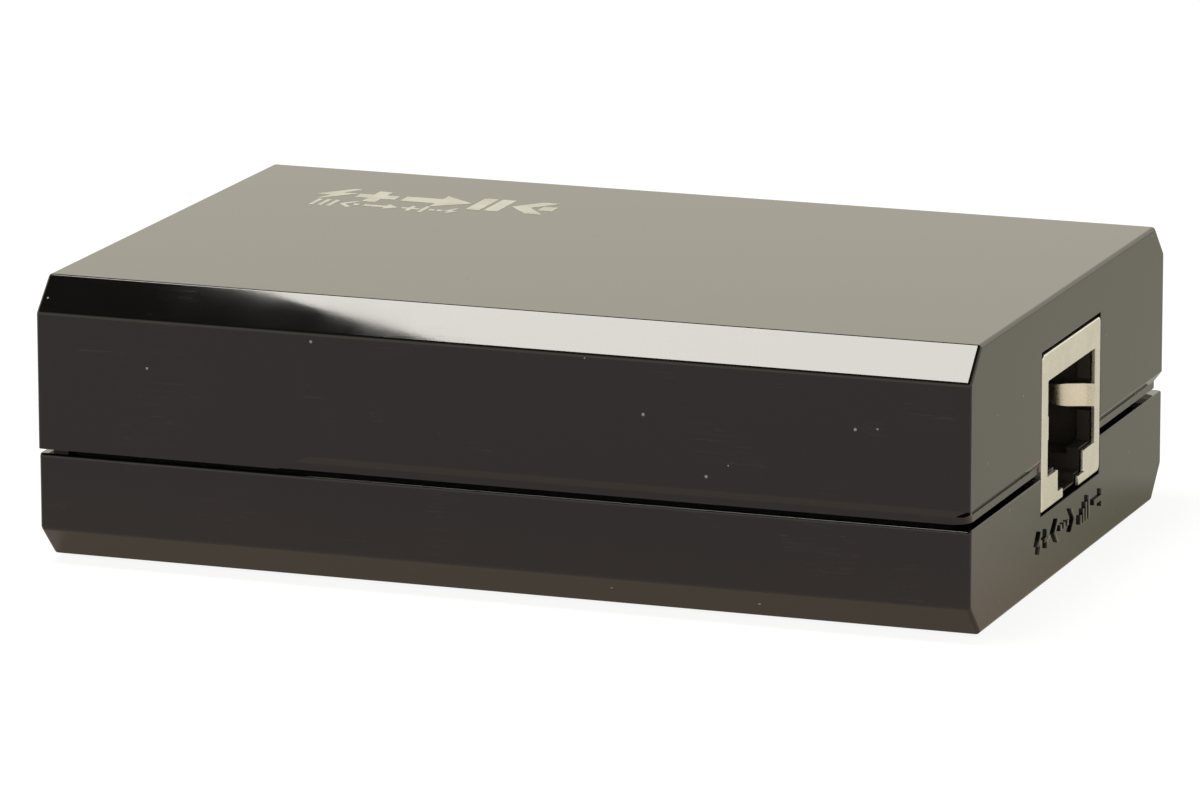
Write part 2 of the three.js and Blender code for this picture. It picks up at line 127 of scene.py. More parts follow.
def makeWorld():
    world = bpy.data.worlds.new("studioWorld")
    world.use_nodes = True
    scene.world = world
    tree = world.node_tree
    tree.nodes.clear()
    direction = put(tree, "ShaderNodeTexCoord")
    parts = put(tree, "ShaderNodeSeparateXYZ", {"Vector": direction.outputs["Generated"]})
    ramp = put(tree, "ShaderNodeValToRGB", {"Fac": parts.outputs["Z"]})
    ramp.color_ramp.interpolation = "EASE"
    low, high = ramp.color_ramp.elements
    low.position = studio["fadeFrom"]
    low.color = (*studio["horizonColour"], 1)
    high.position = studio["fadeTo"]
    high.color = (*studio["zenithColour"], 1)
    roomLight = {"Color": ramp.outputs["Color"], "Strength": studio["horizonStrength"]}
    room = put(tree, "ShaderNodeBackground", roomLight)
    backdrop = put(tree, "ShaderNodeBackground", {"Color": (1, 1, 1, 1), "Strength": 1.0})
    ray = put(tree, "ShaderNodeLightPath")
    mix = mixShaders(tree, ray.outputs["Is Camera Ray"], room, backdrop)
    put(tree, "ShaderNodeOutputWorld", {"Surface": mix.outputs[0]})


def makeSoftbox():
    data = bpy.data.lights.new("softbox", "AREA")
    data.shape = "RECTANGLE"
    data.size, data.size_y = studio["softboxSize"]
    data.energy = studio["softboxPower"]
    data.color = studio["softboxColour"]
    softbox = bpy.data.objects.new("softbox", data)
    softbox.location = studio["softboxCentre"]
    softbox.rotation_euler = (0, 0, math.radians(studio["softboxTurn"]))
    softbox.visible_camera = False
    scene.collection.objects.link(softbox)


def paperMaterial():
    material = bpy.data.materials.new("paperFloor")
    material.use_nodes = True
    tree = material.node_tree
    tree.nodes.clear()
    place = put(tree, "ShaderNodeTexCoord").outputs["Object"]
    normal = bumpNormal(tree, noise(tree, place, 900.0, 2.0), 0.1, 0.1)
    plain = {"Color": (*studio["floorColour"], 1), "Normal": normal}
    paper = put(tree, "ShaderNodeBsdfDiffuse", plain)
    # the paper glows a little, from warm in front to cooler behind: its contact shadow stays soft
    parts = put(tree, "ShaderNodeSeparateXYZ", {"Vector": place})
    span = studio["floorSpan"]
    depth = between(tree, parts.outputs["Y"], 0.0, 1.0, -span, span)
    bounce = put(tree, "ShaderNodeValToRGB", {"Fac": depth})
    stops = bounce.color_ramp.elements
    while len(stops) < len(studio["floorBounce"]):
        stops.new(0.5)
    for stop, (y, colour) in zip(stops, studio["floorBounce"]):
        stop.position = (y + span) / (2 * span)
        stop.color = (*colour, 1)
    behind = put(tree, "ShaderNodeEmission", {"Color": bounce.outputs["Color"]})
    lit = put(tree, "ShaderNodeAddShader", {0: paper.outputs[0], 1: behind.outputs[0]})
    # the camera sees the paper overexposed, with only a faint contact shadow
    shade = studio["floorShade"]
    pale = put(tree, "ShaderNodeBsdfDiffuse", {"Color": (shade, shade, shade, 1)})
    glow = put(tree, "ShaderNodeEmission", {"Strength": studio["floorGlow"]})
    seen = put(tree, "ShaderNodeAddShader", {0: pale.outputs[0], 1: glow.outputs[0]})
    ray = put(tree, "ShaderNodeLightPath")
    mix = mixShaders(tree, ray.outputs["Is Camera Ray"], lit, seen)
    # from below it is clear, so that the underside can be looked at
    side = put(tree, "ShaderNodeNewGeometry")
    nothing = put(tree, "ShaderNodeBsdfTransparent")
    either = mixShaders(tree, side.outputs["Backfacing"], mix, nothing)
    put(tree, "ShaderNodeOutputMaterial", {"Surface": either.outputs[0]})
    return material


def makeFloor():
    half = studio["floorSize"] / 2
    low = studio["floorHeight"]
    mesh = bpy.data.meshes.new("floor")
    corners = [(-half, -half, low), (half, -half, low), (half, half, low), (-half, half, low)]
    mesh.from_pydata(corners, [], [(0, 1, 2, 3)])
    mesh.materials.append(paperMaterial())
    floor = bpy.data.objects.new("floor", mesh)
    scene.collection.objects.link(floor)


makeCamera()
makeWorld()
makeSoftbox()
makeFloor()
scene.view_settings.view_transform = "Standard"
print("studio ready")

# shared shader groups: they put out only masks and heights


def addInputs(tree, inputs):
    for label, kind, value in inputs:
        socket = tree.interface.new_socket(label, in_out="INPUT", socket_type=f"NodeSocket{kind}")
        if value is not None:
            socket.default_value = value


def newGroup(name, inputs, outputs):
    tree = bpy.data.node_groups.new(name, "ShaderNodeTree")
    addInputs(tree, [("Vector", "Vector", None)] + inputs)
    for label in outputs:
        tree.interface.new_socket(label, in_out="OUTPUT", socket_type="NodeSocketFloat")
    return tree, tree.nodes.new("NodeGroupInput"), tree.nodes.new("NodeGroupOutput")


def maths(tree, operation, first, second=0.0):
    node = put(tree, "ShaderNodeMath", {0: first, 1: second}, operation=operation)
    return node.outputs[0]


def grainGroup():
    # fine moulded or cast grain: a height, and a broad patchy mask
    inputs = [("Grain Size", "Float", 0.2), ("Patch Size", "Float", 6.0)]
    tree, source, sink = newGroup("mouldGrain", inputs, ["Height", "Patches"])
    for size, detail, result in (("Grain Size", 3.0, "Height"), ("Patch Size", 2.0, "Patches")):
        scale = maths(tree, "DIVIDE", 1.0, source.outputs[size])
        pattern = noise(tree, source.outputs["Vector"], scale, detail)
        tree.links.new(pattern, sink.inputs[result])
    return tree


def dustGroup():
    # a few dust specks and hairline scratches
    inputs = [("Speck Spacing", "Float", 4.0), ("Speck Radius", "Float", 0.09)]
    inputs += [("Share", "Float", 0.35)]
    tree, source, sink = newGroup("dustAndHairlines", inputs, ["Specks", "Hairlines"])
    vector = source.outputs["Vector"]
    scale = maths(tree, "DIVIDE", 1.0, source.outputs["Speck Spacing"])
    grid = {"Vector": vector, "Scale": scale, "Randomness": 1.0}
    cells = put(tree, "ShaderNodeTexVoronoi", grid)
    distance = maths(tree, "MULTIPLY", cells.outputs["Distance"], source.outputs["Speck Spacing"])
    chance = put(tree, "ShaderNodeSeparateColor", {"Color": cells.outputs["Color"]})
    radius = maths(tree, "MULTIPLY", source.outputs["Speck Radius"], chance.outputs["Green"])
    near = maths(tree, "LESS_THAN", distance, radius)
    chosen = maths(tree, "LESS_THAN", chance.outputs["Red"], source.outputs["Share"])
    tree.links.new(maths(tree, "MULTIPLY", near, chosen), sink.inputs["Specks"])
    slant = {"Vector": vector, "Rotation": (0.4, 0.25, 0.5), "Scale": (0.08, 4.0, 4.0)}
    streaks = noise(tree, put(tree, "ShaderNodeMapping", slant).outputs["Vector"], 1.0, 2.0)
    ridge = maths(tree, "ABSOLUTE", maths(tree, "SUBTRACT", streaks, 0.5))
    line = maths(tree, "LESS_THAN", ridge, 0.006)
    patch = maths(tree, "GREATER_THAN", noise(tree, vector, 0.16, 1.0), 0.6)
    tree.links.new(maths(tree, "MULTIPLY", line, patch), sink.inputs["Hairlines"])
    return tree


def metalGroup():
    # drawn and plated metal: fine lines along one axis, and a cloudy stain
    inputs = [("Line Stretch", "Vector", (1.0, 12.0, 12.0)), ("Cloud Size", "Float", 3.0)]
    tree, source, sink = newGroup("drawnMetal", inputs, ["Lines", "Clouds"])
    vector = source.outputs["Vector"]
    stretch = {0: vector, 1: source.outputs["Line Stretch"]}
    drawn = put(tree, "ShaderNodeVectorMath", stretch, operation="MULTIPLY")
    lines = noise(tree, drawn.outputs["Vector"], 1.0, 3.0)
    cloudScale = maths(tree, "DIVIDE", 1.0, source.outputs["Cloud Size"])
    tree.links.new(lines, sink.inputs["Lines"])
    tree.links.new(noise(tree, vector, cloudScale, 4.0), sink.inputs["Clouds"])
    return tree


def traceGroup():
    # board tracks: patches with lines one way, patches with lines the other way, and plain pours
    inputs = [("Track Step", "Float", 0.9), ("Patch Size", "Float", 8.0)]
    tree, source, sink = newGroup("boardTracks", inputs, ["Tracks"])
    vector = source.outputs["Vector"]
    patchScale = maths(tree, "DIVIDE", 1.0, source.outputs["Patch Size"])
    grid = {"Vector": vector, "Scale": patchScale, "Randomness": 0.7}
    patches = put(tree, "ShaderNodeTexVoronoi", grid, distance="CHEBYCHEV")
    chance = put(tree, "ShaderNodeSeparateColor", {"Color": patches.outputs["Color"]})
    parts = put(tree, "ShaderNodeSeparateXYZ", {"Vector": vector})
    lengthways = maths(tree, "LESS_THAN", chance.outputs["Red"], 0.45)
    crossways = maths(tree, "GREATER_THAN", chance.outputs["Red"], 0.6)
    masks = []
    for along, chosen in (("Y", lengthways), ("X", crossways)):
        steps = maths(tree, "DIVIDE", parts.outputs[along], source.outputs["Track Step"])
        line = maths(tree, "LESS_THAN", maths(tree, "FRACT", steps), 0.42)
        masks.append(maths(tree, "MULTIPLY", line, chosen))
    pour = maths(tree, "SUBTRACT", 1.0, maths(tree, "ADD", lengthways, crossways))
    tracks = maths(tree, "MAXIMUM", maths(tree, "MAXIMUM", *masks), pour)
    tree.links.new(tracks, sink.inputs["Tracks"])
    return tree


groups = {
    "grain": grainGroup(),
    "dust": dustGroup(),
    "metal": metalGroup(),
    "tracks": traceGroup(),
}

# finishes


def newFinish(name, values):
    # a material whose coordinates are in millimetres
    material = bpy.data.materials.new(name)
    material.use_nodes = True
    tree = material.node_tree
    shader = tree.nodes["Principled BSDF"]
    for label, value in values.items():
        shader.inputs[label].default_value = value
    place = put(tree, "ShaderNodeTexCoord")
    scaled = {"Vector": place.outputs["Object"], "Scale": (1000.0, 1000.0, 1000.0)}
    return material, tree, shader, put(tree, "ShaderNodeMapping", scaled).outputs["Vector"]


def useGroup(tree, key, inputs):
    return put(tree, "ShaderNodeGroup", inputs, node_tree=groups[key]).outputs


def blendColours(tree, factor, first, second):
    inputs = {0: factor, 6: (*first, 1), 7: (*second, 1)}
    return put(tree, "ShaderNodeMix", inputs, data_type="RGBA").outputs[2]


def dress(tree, shader, colour, rough):
    tree.links.new(colour, shader.inputs["Base Color"])
    tree.links.new(rough, shader.inputs["Roughness"])


def raiseSurface(tree, shader, height, strength, distance):
    normal = bumpNormal(tree, height, strength, distance)
    tree.links.new(normal, shader.inputs["Normal"])


def shellFinish():
    look = {
        "black": (0.0035, 0.0031, 0.0028), "dust": (0.24, 0.23, 0.20), "grainSize": 0.16,
        "patchSize": 9.0, "smooth": 0.02, "dull": 0.045, "grainDepth": 0.0001, "speckSpacing": 1.8,
        "speckRadius": 0.14, "speckShare": 0.35, "hairlines": 0.05
    }
    material, tree, shader, place = newFinish("blackShellPlastic", {"IOR": 1.5})
    pattern = {"Grain Size": look["grainSize"], "Patch Size": look["patchSize"]}
    grain = useGroup(tree, "grain", {"Vector": place, **pattern})
    specks = {"Speck Spacing": look["speckSpacing"], "Speck Radius": look["speckRadius"]}
    dust = useGroup(tree, "dust", {"Vector": place, **specks, "Share": look["speckShare"]})
    faint = maths(tree, "MULTIPLY", dust["Hairlines"], look["hairlines"])
    marks = maths(tree, "MAXIMUM", dust["Specks"], faint)
    colour = blendColours(tree, marks, look["black"], look["dust"])
    dull = between(tree, grain["Patches"], look["smooth"], look["dull"])
    dress(tree, shader, colour, maths(tree, "ADD", dull, maths(tree, "MULTIPLY", marks, 0.5)))
    raiseSurface(tree, shader, grain["Height"], 1.0, look["grainDepth"])
    return material


def mouldedFinish(name, dark, light, roughness, grainSize, grainDepth):
    # plain moulded plastic, rubber, ferrite and epoxy
    material, tree, shader, place = newFinish(name, {"IOR": 1.5})
    grain = useGroup(tree, "grain", {"Vector": place, "Grain Size": grainSize, "Patch Size": 2.5})
    colour = blendColours(tree, between(tree, grain["Patches"], 0.0, 1.0), dark, light)
    dress(tree, shader, colour, between(tree, grain["Height"], roughness - 0.06, roughness + 0.06))
    raiseSurface(tree, shader, grain["Height"], 0.8, grainDepth)
    return material


def metalFinish(name, bright, stained, roughness, stretch):
    material, tree, shader, place = newFinish(name, {"Metallic": 1.0})
    metal = useGroup(tree, "metal", {"Vector": place, "Line Stretch": stretch, "Cloud Size": 2.0})
    colour = blendColours(tree, between(tree, metal["Clouds"], 0.0, 1.0), bright, stained)
    dress(tree, shader, colour, between(tree, metal["Lines"], roughness - 0.05, roughness + 0.07))
    raiseSurface(tree, shader, metal["Lines"], 0.6, 0.002)
    return material


def maskFinish():
    # green solder mask over copper tracks
    material, tree, shader, place = newFinish("solderMask", {"IOR": 1.5})
    tracks = useGroup(tree, "tracks", {"Vector": place})["Tracks"]
    grain = useGroup(tree, "grain", {"Vector": place, "Grain Size": 0.3, "Patch Size": 5.0})
    colour = blendColours(tree, tracks, (0.006, 0.075, 0.028), (0.018, 0.16, 0.055))
    dress(tree, shader, colour, between(tree, grain["Patches"], 0.24, 0.36))
    raiseSurface(tree, shader, tracks, 0.6, 0.03)
    return material


def clearFinish():
    values = {"IOR": 1.49, "Transmission Weight": 1.0}
    material, tree, shader, place = newFinish("clearResin", values)
    grain = useGroup(tree, "grain", {"Vector": place, "Grain Size": 0.5, "Patch Size": 3.0})
    factor = between(tree, grain["Patches"], 0.0, 1.0)
    colour = blendColours(tree, factor, (0.93, 0.95, 0.93), (0.86, 0.9, 0.87))
    dress(tree, shader, colour, between(tree, grain["Height"], 0.05, 0.14))
    return material


# moulded looks: two colours, roughness, grain size and grain depth
mouldedLooks = {
    "rubber": ("rubberPad", (0.012, 0.012, 0.012), (0.03, 0.03, 0.028), 0.72, 0.12, 0.02),
    "label": ("labelFilm", (0.52, 0.52, 0.5), (0.6, 0.6, 0.57), 0.42, 0.3, 0.002),
    "print": ("silverInk", (0.47, 0.46, 0.40), (0.56, 0.55, 0.49), 0.5, 0.12, 0.003),
    "darkPrint": ("darkInk", (0.02, 0.02, 0.022), (0.04, 0.04, 0.045), 0.5, 0.2, 0.002),
    "portPlastic": ("portBlack", (0.022, 0.019, 0.017), (0.03, 0.026, 0.023), 0.42, 0.2, 0.004),
    "epoxy": ("blackEpoxy", (0.010, 0.010, 0.011), (0.018, 0.018, 0.019), 0.55, 0.1, 0.01),
    "ferrite": ("firedFerrite", (0.045, 0.045, 0.05), (0.075, 0.073, 0.076), 0.6, 0.15, 0.012),
    "ceramic": ("paleCeramic", (0.62, 0.60, 0.53), (0.7, 0.68, 0.62), 0.5, 0.2, 0.005),
    "tan": ("tanCeramic", (0.30, 0.19, 0.10), (0.36, 0.24, 0.13), 0.4, 0.2, 0.004),
    "ink": ("whiteInk", (0.68, 0.68, 0.66), (0.78, 0.78, 0.76), 0.6, 0.1, 0.003),
    "laminate": ("laminateEdge", (0.36, 0.33, 0.17), (0.46, 0.41, 0.22), 0.6, 0.12, 0.01),
    "sleeve": ("shrinkSleeve", (0.012, 0.02, 0.055), (0.02, 0.03, 0.075), 0.28, 0.8, 0.004),
    "stripe": ("sleeveStripe", (0.5, 0.52, 0.52), (0.58, 0.6, 0.6), 0.3, 0.8, 0.004),
    "amberLens": ("lensResin", (0.75, 0.68, 0.38), (0.82, 0.76, 0.48), 0.16, 0.4, 0.001),
}
# metals: two colours, roughness and how the drawn lines are stretched
metalLooks = {
    "steel": ("tinnedSteel", (0.86, 0.84, 0.78), (0.78, 0.76, 0.71), 0.3, (9.0, 0.8, 9.0)),
    "springSteel": ("springSteel", (0.88, 0.86, 0.70), (0.80, 0.78, 0.63), 0.3, (9.0, 0.8, 9.0)),
    "gold": ("goldPlate", (0.95, 0.68, 0.28), (0.86, 0.58, 0.22), 0.22, (2.0, 14.0, 14.0)),
    "plated": ("nickelPlate", (0.72, 0.71, 0.68), (0.6, 0.59, 0.56), 0.25, (10.0, 10.0, 1.0)),
    "tin": ("solderTin", (0.78, 0.78, 0.77), (0.62, 0.62, 0.61), 0.24, (3.0, 3.0, 3.0)),
    "aluminium": ("spunAluminium", (0.8, 0.8, 0.79), (0.7, 0.7, 0.69), 0.32, (6.0, 6.0, 1.0)),
    "enamel": ("enamelCopper", (0.78, 0.36, 0.17), (0.66, 0.27, 0.11), 0.24, (1.0, 1.0, 8.0)),
}
finishes = {"shell": shellFinish(), "mask": maskFinish(), "clear": clearFinish()}
finishes.update({key: mouldedFinish(*look) for key, look in mouldedLooks.items()})
finishes.update({key: metalFinish(*look) for key, look in metalLooks.items()})
print("finishes ready")

# mesh helpers: shapes are made in millimetres in their own frame, and settle() puts them in place

axisOrder = {
    "x": lambda u, v, w: (w, u, v),
    "y": lambda u, v, w: (u, w, v),
    "z": lambda u, v, w: (u, v, w),
}


def newShape(name, vertices, faces, edges=()):
    mesh = bpy.data.meshes.new(name)
    mesh.from_pydata([tuple(v) for v in vertices], list(edges), faces)
    shape = bpy.data.objects.new(name, mesh)
    scene.collection.objects.link(shape)
    if faces:
        turnOutwards(shape)
    return shape


def turnOutwards(shape):
    work = bmesh.new()
    work.from_mesh(shape.data)
    bmesh.ops.recalc_face_normals(work, faces=work.faces)
    work.to_mesh(shape.data)
    work.free()


def lofted(name, rings):
    # closed rings of the same count, with a face at each end
    count = len(rings[0])
    vertices = [point for ring in rings for point in ring]
    faces = [tuple(range(count)), tuple(range(len(vertices) - count, len(vertices)))]
    for level in range(len(rings) - 1):
        low = level * count
        high = low + count
        for i in range(count):
            j = (i + 1) % count
            faces.append((low + i, low + j, high + j, high + i))
    return newShape(name, vertices, faces)


def prism(name, outline, low, high, axis="x"):
    place = axisOrder[axis]
    return lofted(name, [[place(u, v, w) for u, v in outline] for w in (low, high)])


def block(name, x0, x1, y0, y1, z0, z1):
    return prism(name, [(x0, y0), (x1, y0), (x1, y1), (x0, y1)], z0, z1, "z")


def rectangle(x, y, wide, deep):
    u = wide / 2
    v = deep / 2
    return [(x - u, y - v), (x + u, y - v), (x + u, y + v), (x - u, y + v)]


def shifted(shape, x, y, z, turn=0.0):
    shape.data.transform(Matrix.Translation((x, y, z)) @ Matrix.Rotation(turn, 4, "Z"))
    return shape


def roundCorners(points, radii, steps=3):
    outline = []
    for i, point in enumerate(points):
        here = Vector(point)
        before = Vector(points[i - 1]) - here
        after = Vector(points[(i + 1) % len(points)]) - here
        limit = 0.48 * min(before.length, after.length)
        before.normalize()
        after.normalize()
        angle = before.angle(after)
        reach = min(radii[i] / math.tan(angle / 2), limit)
        radius = reach * math.tan(angle / 2)
        centre = here + (before + after).normalized() * (radius / math.sin(angle / 2))
        start = here + before * reach - centre
        end = here + after * reach - centre
        sweep = start.angle(end)
        for k in range(steps + 1):
            share = k / steps
            first = math.sin((1 - share) * sweep) / math.sin(sweep)
            second = math.sin(share * sweep) / math.sin(sweep)
            outline.append(tuple(centre + start * first + end * second))
    return outline


def insetPoints(points, distance):
    # points run anticlockwise
    moved = []
    for i, point in enumerate(points):
        here = Vector(point)
        before = (here - Vector(points[i - 1])).normalized()
        after = (Vector(points[(i + 1) % len(points)]) - here).normalized()
        firstNormal = Vector((-before.y, before.x))
        secondNormal = Vector((-after.y, after.x))
        shift = (firstNormal + secondNormal) / (1 + firstNormal.dot(secondNormal))
        moved.append(tuple(here + shift * distance))
    return moved


def isConvex(points, i):
    here = Vector(points[i])
    before = here - Vector(points[i - 1])
    after = Vector(points[(i + 1) % len(points)]) - here
    return before.x * after.y - before.y * after.x > 0


def roundedPrism(name, points, radii, low, high, endRadius, axis="x", steps=3, ends=(True, True)):
    # a prism whose long edges have radii and whose ends are rounded too
    place = axisOrder[axis]

    def ring(inset, along):
        moved = insetPoints(points, inset)
        kept = [max(r - inset, 0.01) if isConvex(points, i) else r + inset for i, r in enumerate(radii)]
        return [place(u, v, along) for u, v in roundCorners(moved, kept, steps)]

    turns = [math.pi / 2 * k / steps for k in range(steps + 1)]
    lowRings = [ring(endRadius * (1 - math.sin(t)), low + endRadius * (1 - math.cos(t))) for t in turns]
    highRings = [
        ring(endRadius * (1 - math.sin(t)), high - endRadius * (1 - math.cos(t)))
        for t in reversed(turns)
    ]
    if not ends[0]:
        lowRings = [ring(0, low)]
    if not ends[1]:
        highRings = [ring(0, high)]
    return lofted(name, lowRings + highRings)


def turned(name, profile, centre=(0, 0, 0), axis="z", steps=48):
    # a lathe shape from (radius, along) pairs: it starts and ends on its axis
    place = axisOrder[axis]
    vertices = []
    rows = []
    for radius, along in profile:
        count = 1 if radius < 1e-6 else steps
        rows.append(range(len(vertices), len(vertices) + count))
        for k in range(count):
            angle = 2 * math.pi * k / steps
            point = place(radius * math.cos(angle), radius * math.sin(angle), along)
            vertices.append(Vector(point) + Vector(centre))
    faces = []
    for low, high in zip(rows, rows[1:]):
        for k in range(steps):
            j = (k + 1) % steps
            if len(low) == 1 and len(high) == 1:
                continue
            if len(low) == 1:
                faces.append((low[0], high[k], high[j]))
            elif len(high) == 1:
                faces.append((low[k], low[j], high[0]))
            else:
                faces.append((low[k], low[j], high[j], high[k]))
    return newShape(name, vertices, faces)


def cylinder(name, radius, low, high, centre=(0, 0, 0), axis="z", steps=48):
    profile = [(0, low), (radius, low), (radius, high), (0, high)]
    return turned(name, profile, centre, axis, steps)


def plate(name, outline, corner, low, high, edge, steps=3, ends=(True, True)):
    # a flat piece with rounded corners and edges
    return roundedPrism(name, outline, [corner] * len(outline), low, high, edge, "z", steps, ends)


def washer(name, outer, inner, low, high, centre=(0, 0, 0), axis="z", steps=48):
    # a flat ring between two radii
    profile = [(outer, low), (outer, high), (inner, high), (inner, low)]
    place = axisOrder[axis]
    vertices = []
    count = len(profile)
    for k in range(steps):
        angle = 2 * math.pi * k / steps
        for radius, along in profile:
            point = place(radius * math.cos(angle), radius * math.sin(angle), along)
            vertices.append(Vector(point) + Vector(centre))
    faces = []
    for k in range(steps):
        low = k * count
        high = ((k + 1) % steps) * count
        for i in range(count):
            j = (i + 1) % count
            faces.append((low + i, low + j, high + j, high + i))
    return newShape(name, vertices, faces)


def strand(name, path, y):
    # a path in the x-z plane, for wires to follow
    edges = [(i, i + 1) for i in range(len(path) - 1)]
    return newShape(name, [(p.x, y, p.y) for p in path], [], edges)


def bake(shape):
    # the shape with its modifiers becomes a plain mesh
    depsgraph = bpy.context.evaluated_depsgraph_get()
    mesh = bpy.data.meshes.new_from_object(
        shape.evaluated_get(depsgraph), preserve_all_data_layers=True, depsgraph=depsgraph
    )
    shape.modifiers.clear()
    shape.data = mesh
    return shape


def drop(shapes):
    for shape in shapes:
        bpy.data.objects.remove(shape)


def combine(shape, others, operation):
    for other in others:
        modifier = shape.modifiers.new("combine", "BOOLEAN")
        modifier.operation = operation
        modifier.solver = "EXACT"
        modifier.object = other
    bake(shape)
    drop(others)
    return shape


def carve(shape, cutters):
    return combine(shape, cutters, "DIFFERENCE")


def weld(shape, others):
    return combine(shape, others, "UNION")


def tidy(work, reach):
    bmesh.ops.remove_doubles(work, verts=work.verts, dist=reach)
    bmesh.ops.dissolve_degenerate(work, edges=work.edges, dist=reach)
    bmesh.ops.dissolve_limit(work, angle_limit=math.radians(0.2), verts=work.verts, edges=work.edges)


def soften(shape, width, rule=None, segments=2, sharper=25):
    # rounds the sharp edges that the rule picks
    work = bmesh.new()
    work.from_mesh(shape.data)
    tidy(work, 1e-4)
    layer = work.edges.layers.float.get("bevel_weight_edge")
    layer = layer or work.edges.layers.float.new("bevel_weight_edge")
    for edge in work.edges:
        edge[layer] = 0
        if len(edge.link_faces) != 2:
            continue
        ends = [vertex.co for vertex in edge.verts]
        if edge.calc_face_angle(0) > math.radians(sharper):
            edge[layer] = 1.0 if not rule or rule(*ends) else 0.0
    work.to_mesh(shape.data)
    work.free()
    modifier = shape.modifiers.new("soften", "BEVEL")
    modifier.limit_method = "WEIGHT"
    modifier.width = width
    modifier.segments = segments
    modifier.use_clamp_overlap = rule is None
    return bake(shape)


def gather(name, shapes):
    # several shapes as one object: each keeps its own finish
    joined = bmesh.new()
    materials = []
    for shape in shapes:
        before = len(joined.faces)
        joined.from_mesh(shape.data)
        joined.faces.ensure_lookup_table()
        own = list(shape.data.materials)
        for face in joined.faces[before:]:
            if own:
                finish = own[min(face.material_index, len(own) - 1)]
                if finish not in materials:
                    materials.append(finish)
                face.material_index = materials.index(finish)
    mesh = bpy.data.meshes.new(name)
    joined.to_mesh(mesh)
    joined.free()
    for finish in materials:
        mesh.materials.append(finish)
    whole = bpy.data.objects.new(name, mesh)
    scene.collection.objects.link(whole)
    drop(shapes)
    return whole


def paint(shape, finish):
    shape.data.materials.clear()
    shape.data.materials.append(finishes[finish])
    for face in shape.data.polygons:
        face.material_index = 0
    return shape


def settle(shape, body, nodes=(), place=None, sharper=32):
    # millimetres to metres, in place, shaded, and handed to the frame
    shape.data.transform(Matrix.Scale(mm, 4) @ (place or Matrix.Identity(4)))
    work = bmesh.new()
    work.from_mesh(shape.data)
    bmesh.ops.remove_doubles(work, verts=work.verts, dist=2e-7)
    bmesh.ops.dissolve_degenerate(work, edges=work.edges, dist=2e-7)
    for face in work.faces:
        face.smooth = True
    for edge in work.edges:
        folded = len(edge.link_faces) == 2 and edge.calc_face_angle(0) > math.radians(sharper)
        edge.smooth = not folded
    work.to_mesh(shape.data)
    work.free()
    modifier = shape.modifiers.new("even", "WEIGHTED_NORMAL")
    modifier.keep_sharp = True
    bake(shape)
    # a piece that stands for a CAD node takes the node's name with an ending
    base = shape.name.split(".")[0]
    shape.name = f"{base}_fine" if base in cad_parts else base
    shape.data.name = shape.name
    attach(shape, body)
    if nodes:
        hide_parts(*nodes)
    return shape


def smoothPath(points, samples):
    # a rounded path through flat points
    whole = [Vector(p) for p in points]
    ahead = [whole[0] * 2 - whole[1]] + whole + [whole[-1] * 2 - whole[-2]]
    path = []
    for i in range(len(whole) - 1):
        a, b, c, d = ahead[i : i + 4]
        for k in range(samples):
            t = k / samples
            cubic = (b - c) * 3 + d - a
            square = a * 2 - b * 5 + c * 4 - d
            path.append((b * 2 + (c - a) * t + square * t**2 + cubic * t**3) / 2)
    path.append(whole[-1])
    return path


def leaf(name, path, widths, thickness, middle, axis):
    # a bent strip: the path lies across the axis, and its width runs along it
    place = axisOrder[axis]
    edge = thickness * 0.22
    rings = []
    for i, point in enumerate(path):
        run = (path[min(i + 1, len(path) - 1)] - path[max(i - 1, 0)]).normalized()
        normal = Vector((-run.y, run.x))
        half = widths(i / (len(path) - 1)) / 2
        deep = thickness / 2
        corners = [
            (half - edge, deep), (half, deep - edge), (half, edge - deep), (half - edge, -deep),
            (edge - half, -deep), (-half, edge - deep), (-half, deep - edge), (edge - half, deep)
        ]
        ring = []
        for across, rise in corners:
            flat = point + normal * rise
            ring.append(place(flat.x, flat.y, middle + across))
        rings.append(ring)
    return lofted(name, rings)


# geometry node trees for what repeats or winds


def newTree(name, inputs):
    tree = bpy.data.node_groups.new(name, "GeometryNodeTree")
    addInputs(tree, [("Geometry", "Geometry", None)] + inputs + [("Material", "Material", None)])
    tree.interface.new_socket("Geometry", in_out="OUTPUT", socket_type="NodeSocketGeometry")
    return tree, tree.nodes.new("NodeGroupInput"), tree.nodes.new("NodeGroupOutput")


def endTree(tree, source, sink, geometry):
    real = put(tree, "GeometryNodeRealizeInstances", {"Geometry": geometry})
    finish = {"Geometry": real.outputs["Geometry"], "Material": source.outputs["Material"]}
    painted = put(tree, "GeometryNodeSetMaterial", finish)
    tree.links.new(painted.outputs["Geometry"], sink.inputs["Geometry"])
    return tree


def copiesOf(tree, source, geometry):
    # copies of one shape, a step apart
    spread = {"Count": source.outputs["Count"], "Offset": source.outputs["Step"]}
    line = put(tree, "GeometryNodeMeshLine", spread, mode="OFFSET")
    pair = {"Points": line.outputs["Mesh"], "Instance": geometry}
    return put(tree, "GeometryNodeInstanceOnPoints", pair).outputs["Instances"]


def roundWire(tree, source, curve, sides):
    size = {"Resolution": sides, "Radius": source.outputs["Wire Radius"]}
    section = put(tree, "GeometryNodeCurvePrimitiveCircle", size).outputs["Curve"]
    sweep = {"Curve": curve, "Profile Curve": section, "Fill Caps": True}
    return put(tree, "GeometryNodeCurveToMesh", sweep).outputs["Mesh"]


def rowTree():
    # copies of a small shape, a step apart
    inputs = [("Count", "Int", 8), ("Step", "Vector", (0.0, 1.0, 0.0))]
    tree, source, sink = newTree("rowOfCopies", inputs)
    return endTree(tree, source, sink, copiesOf(tree, source, source.outputs["Geometry"]))


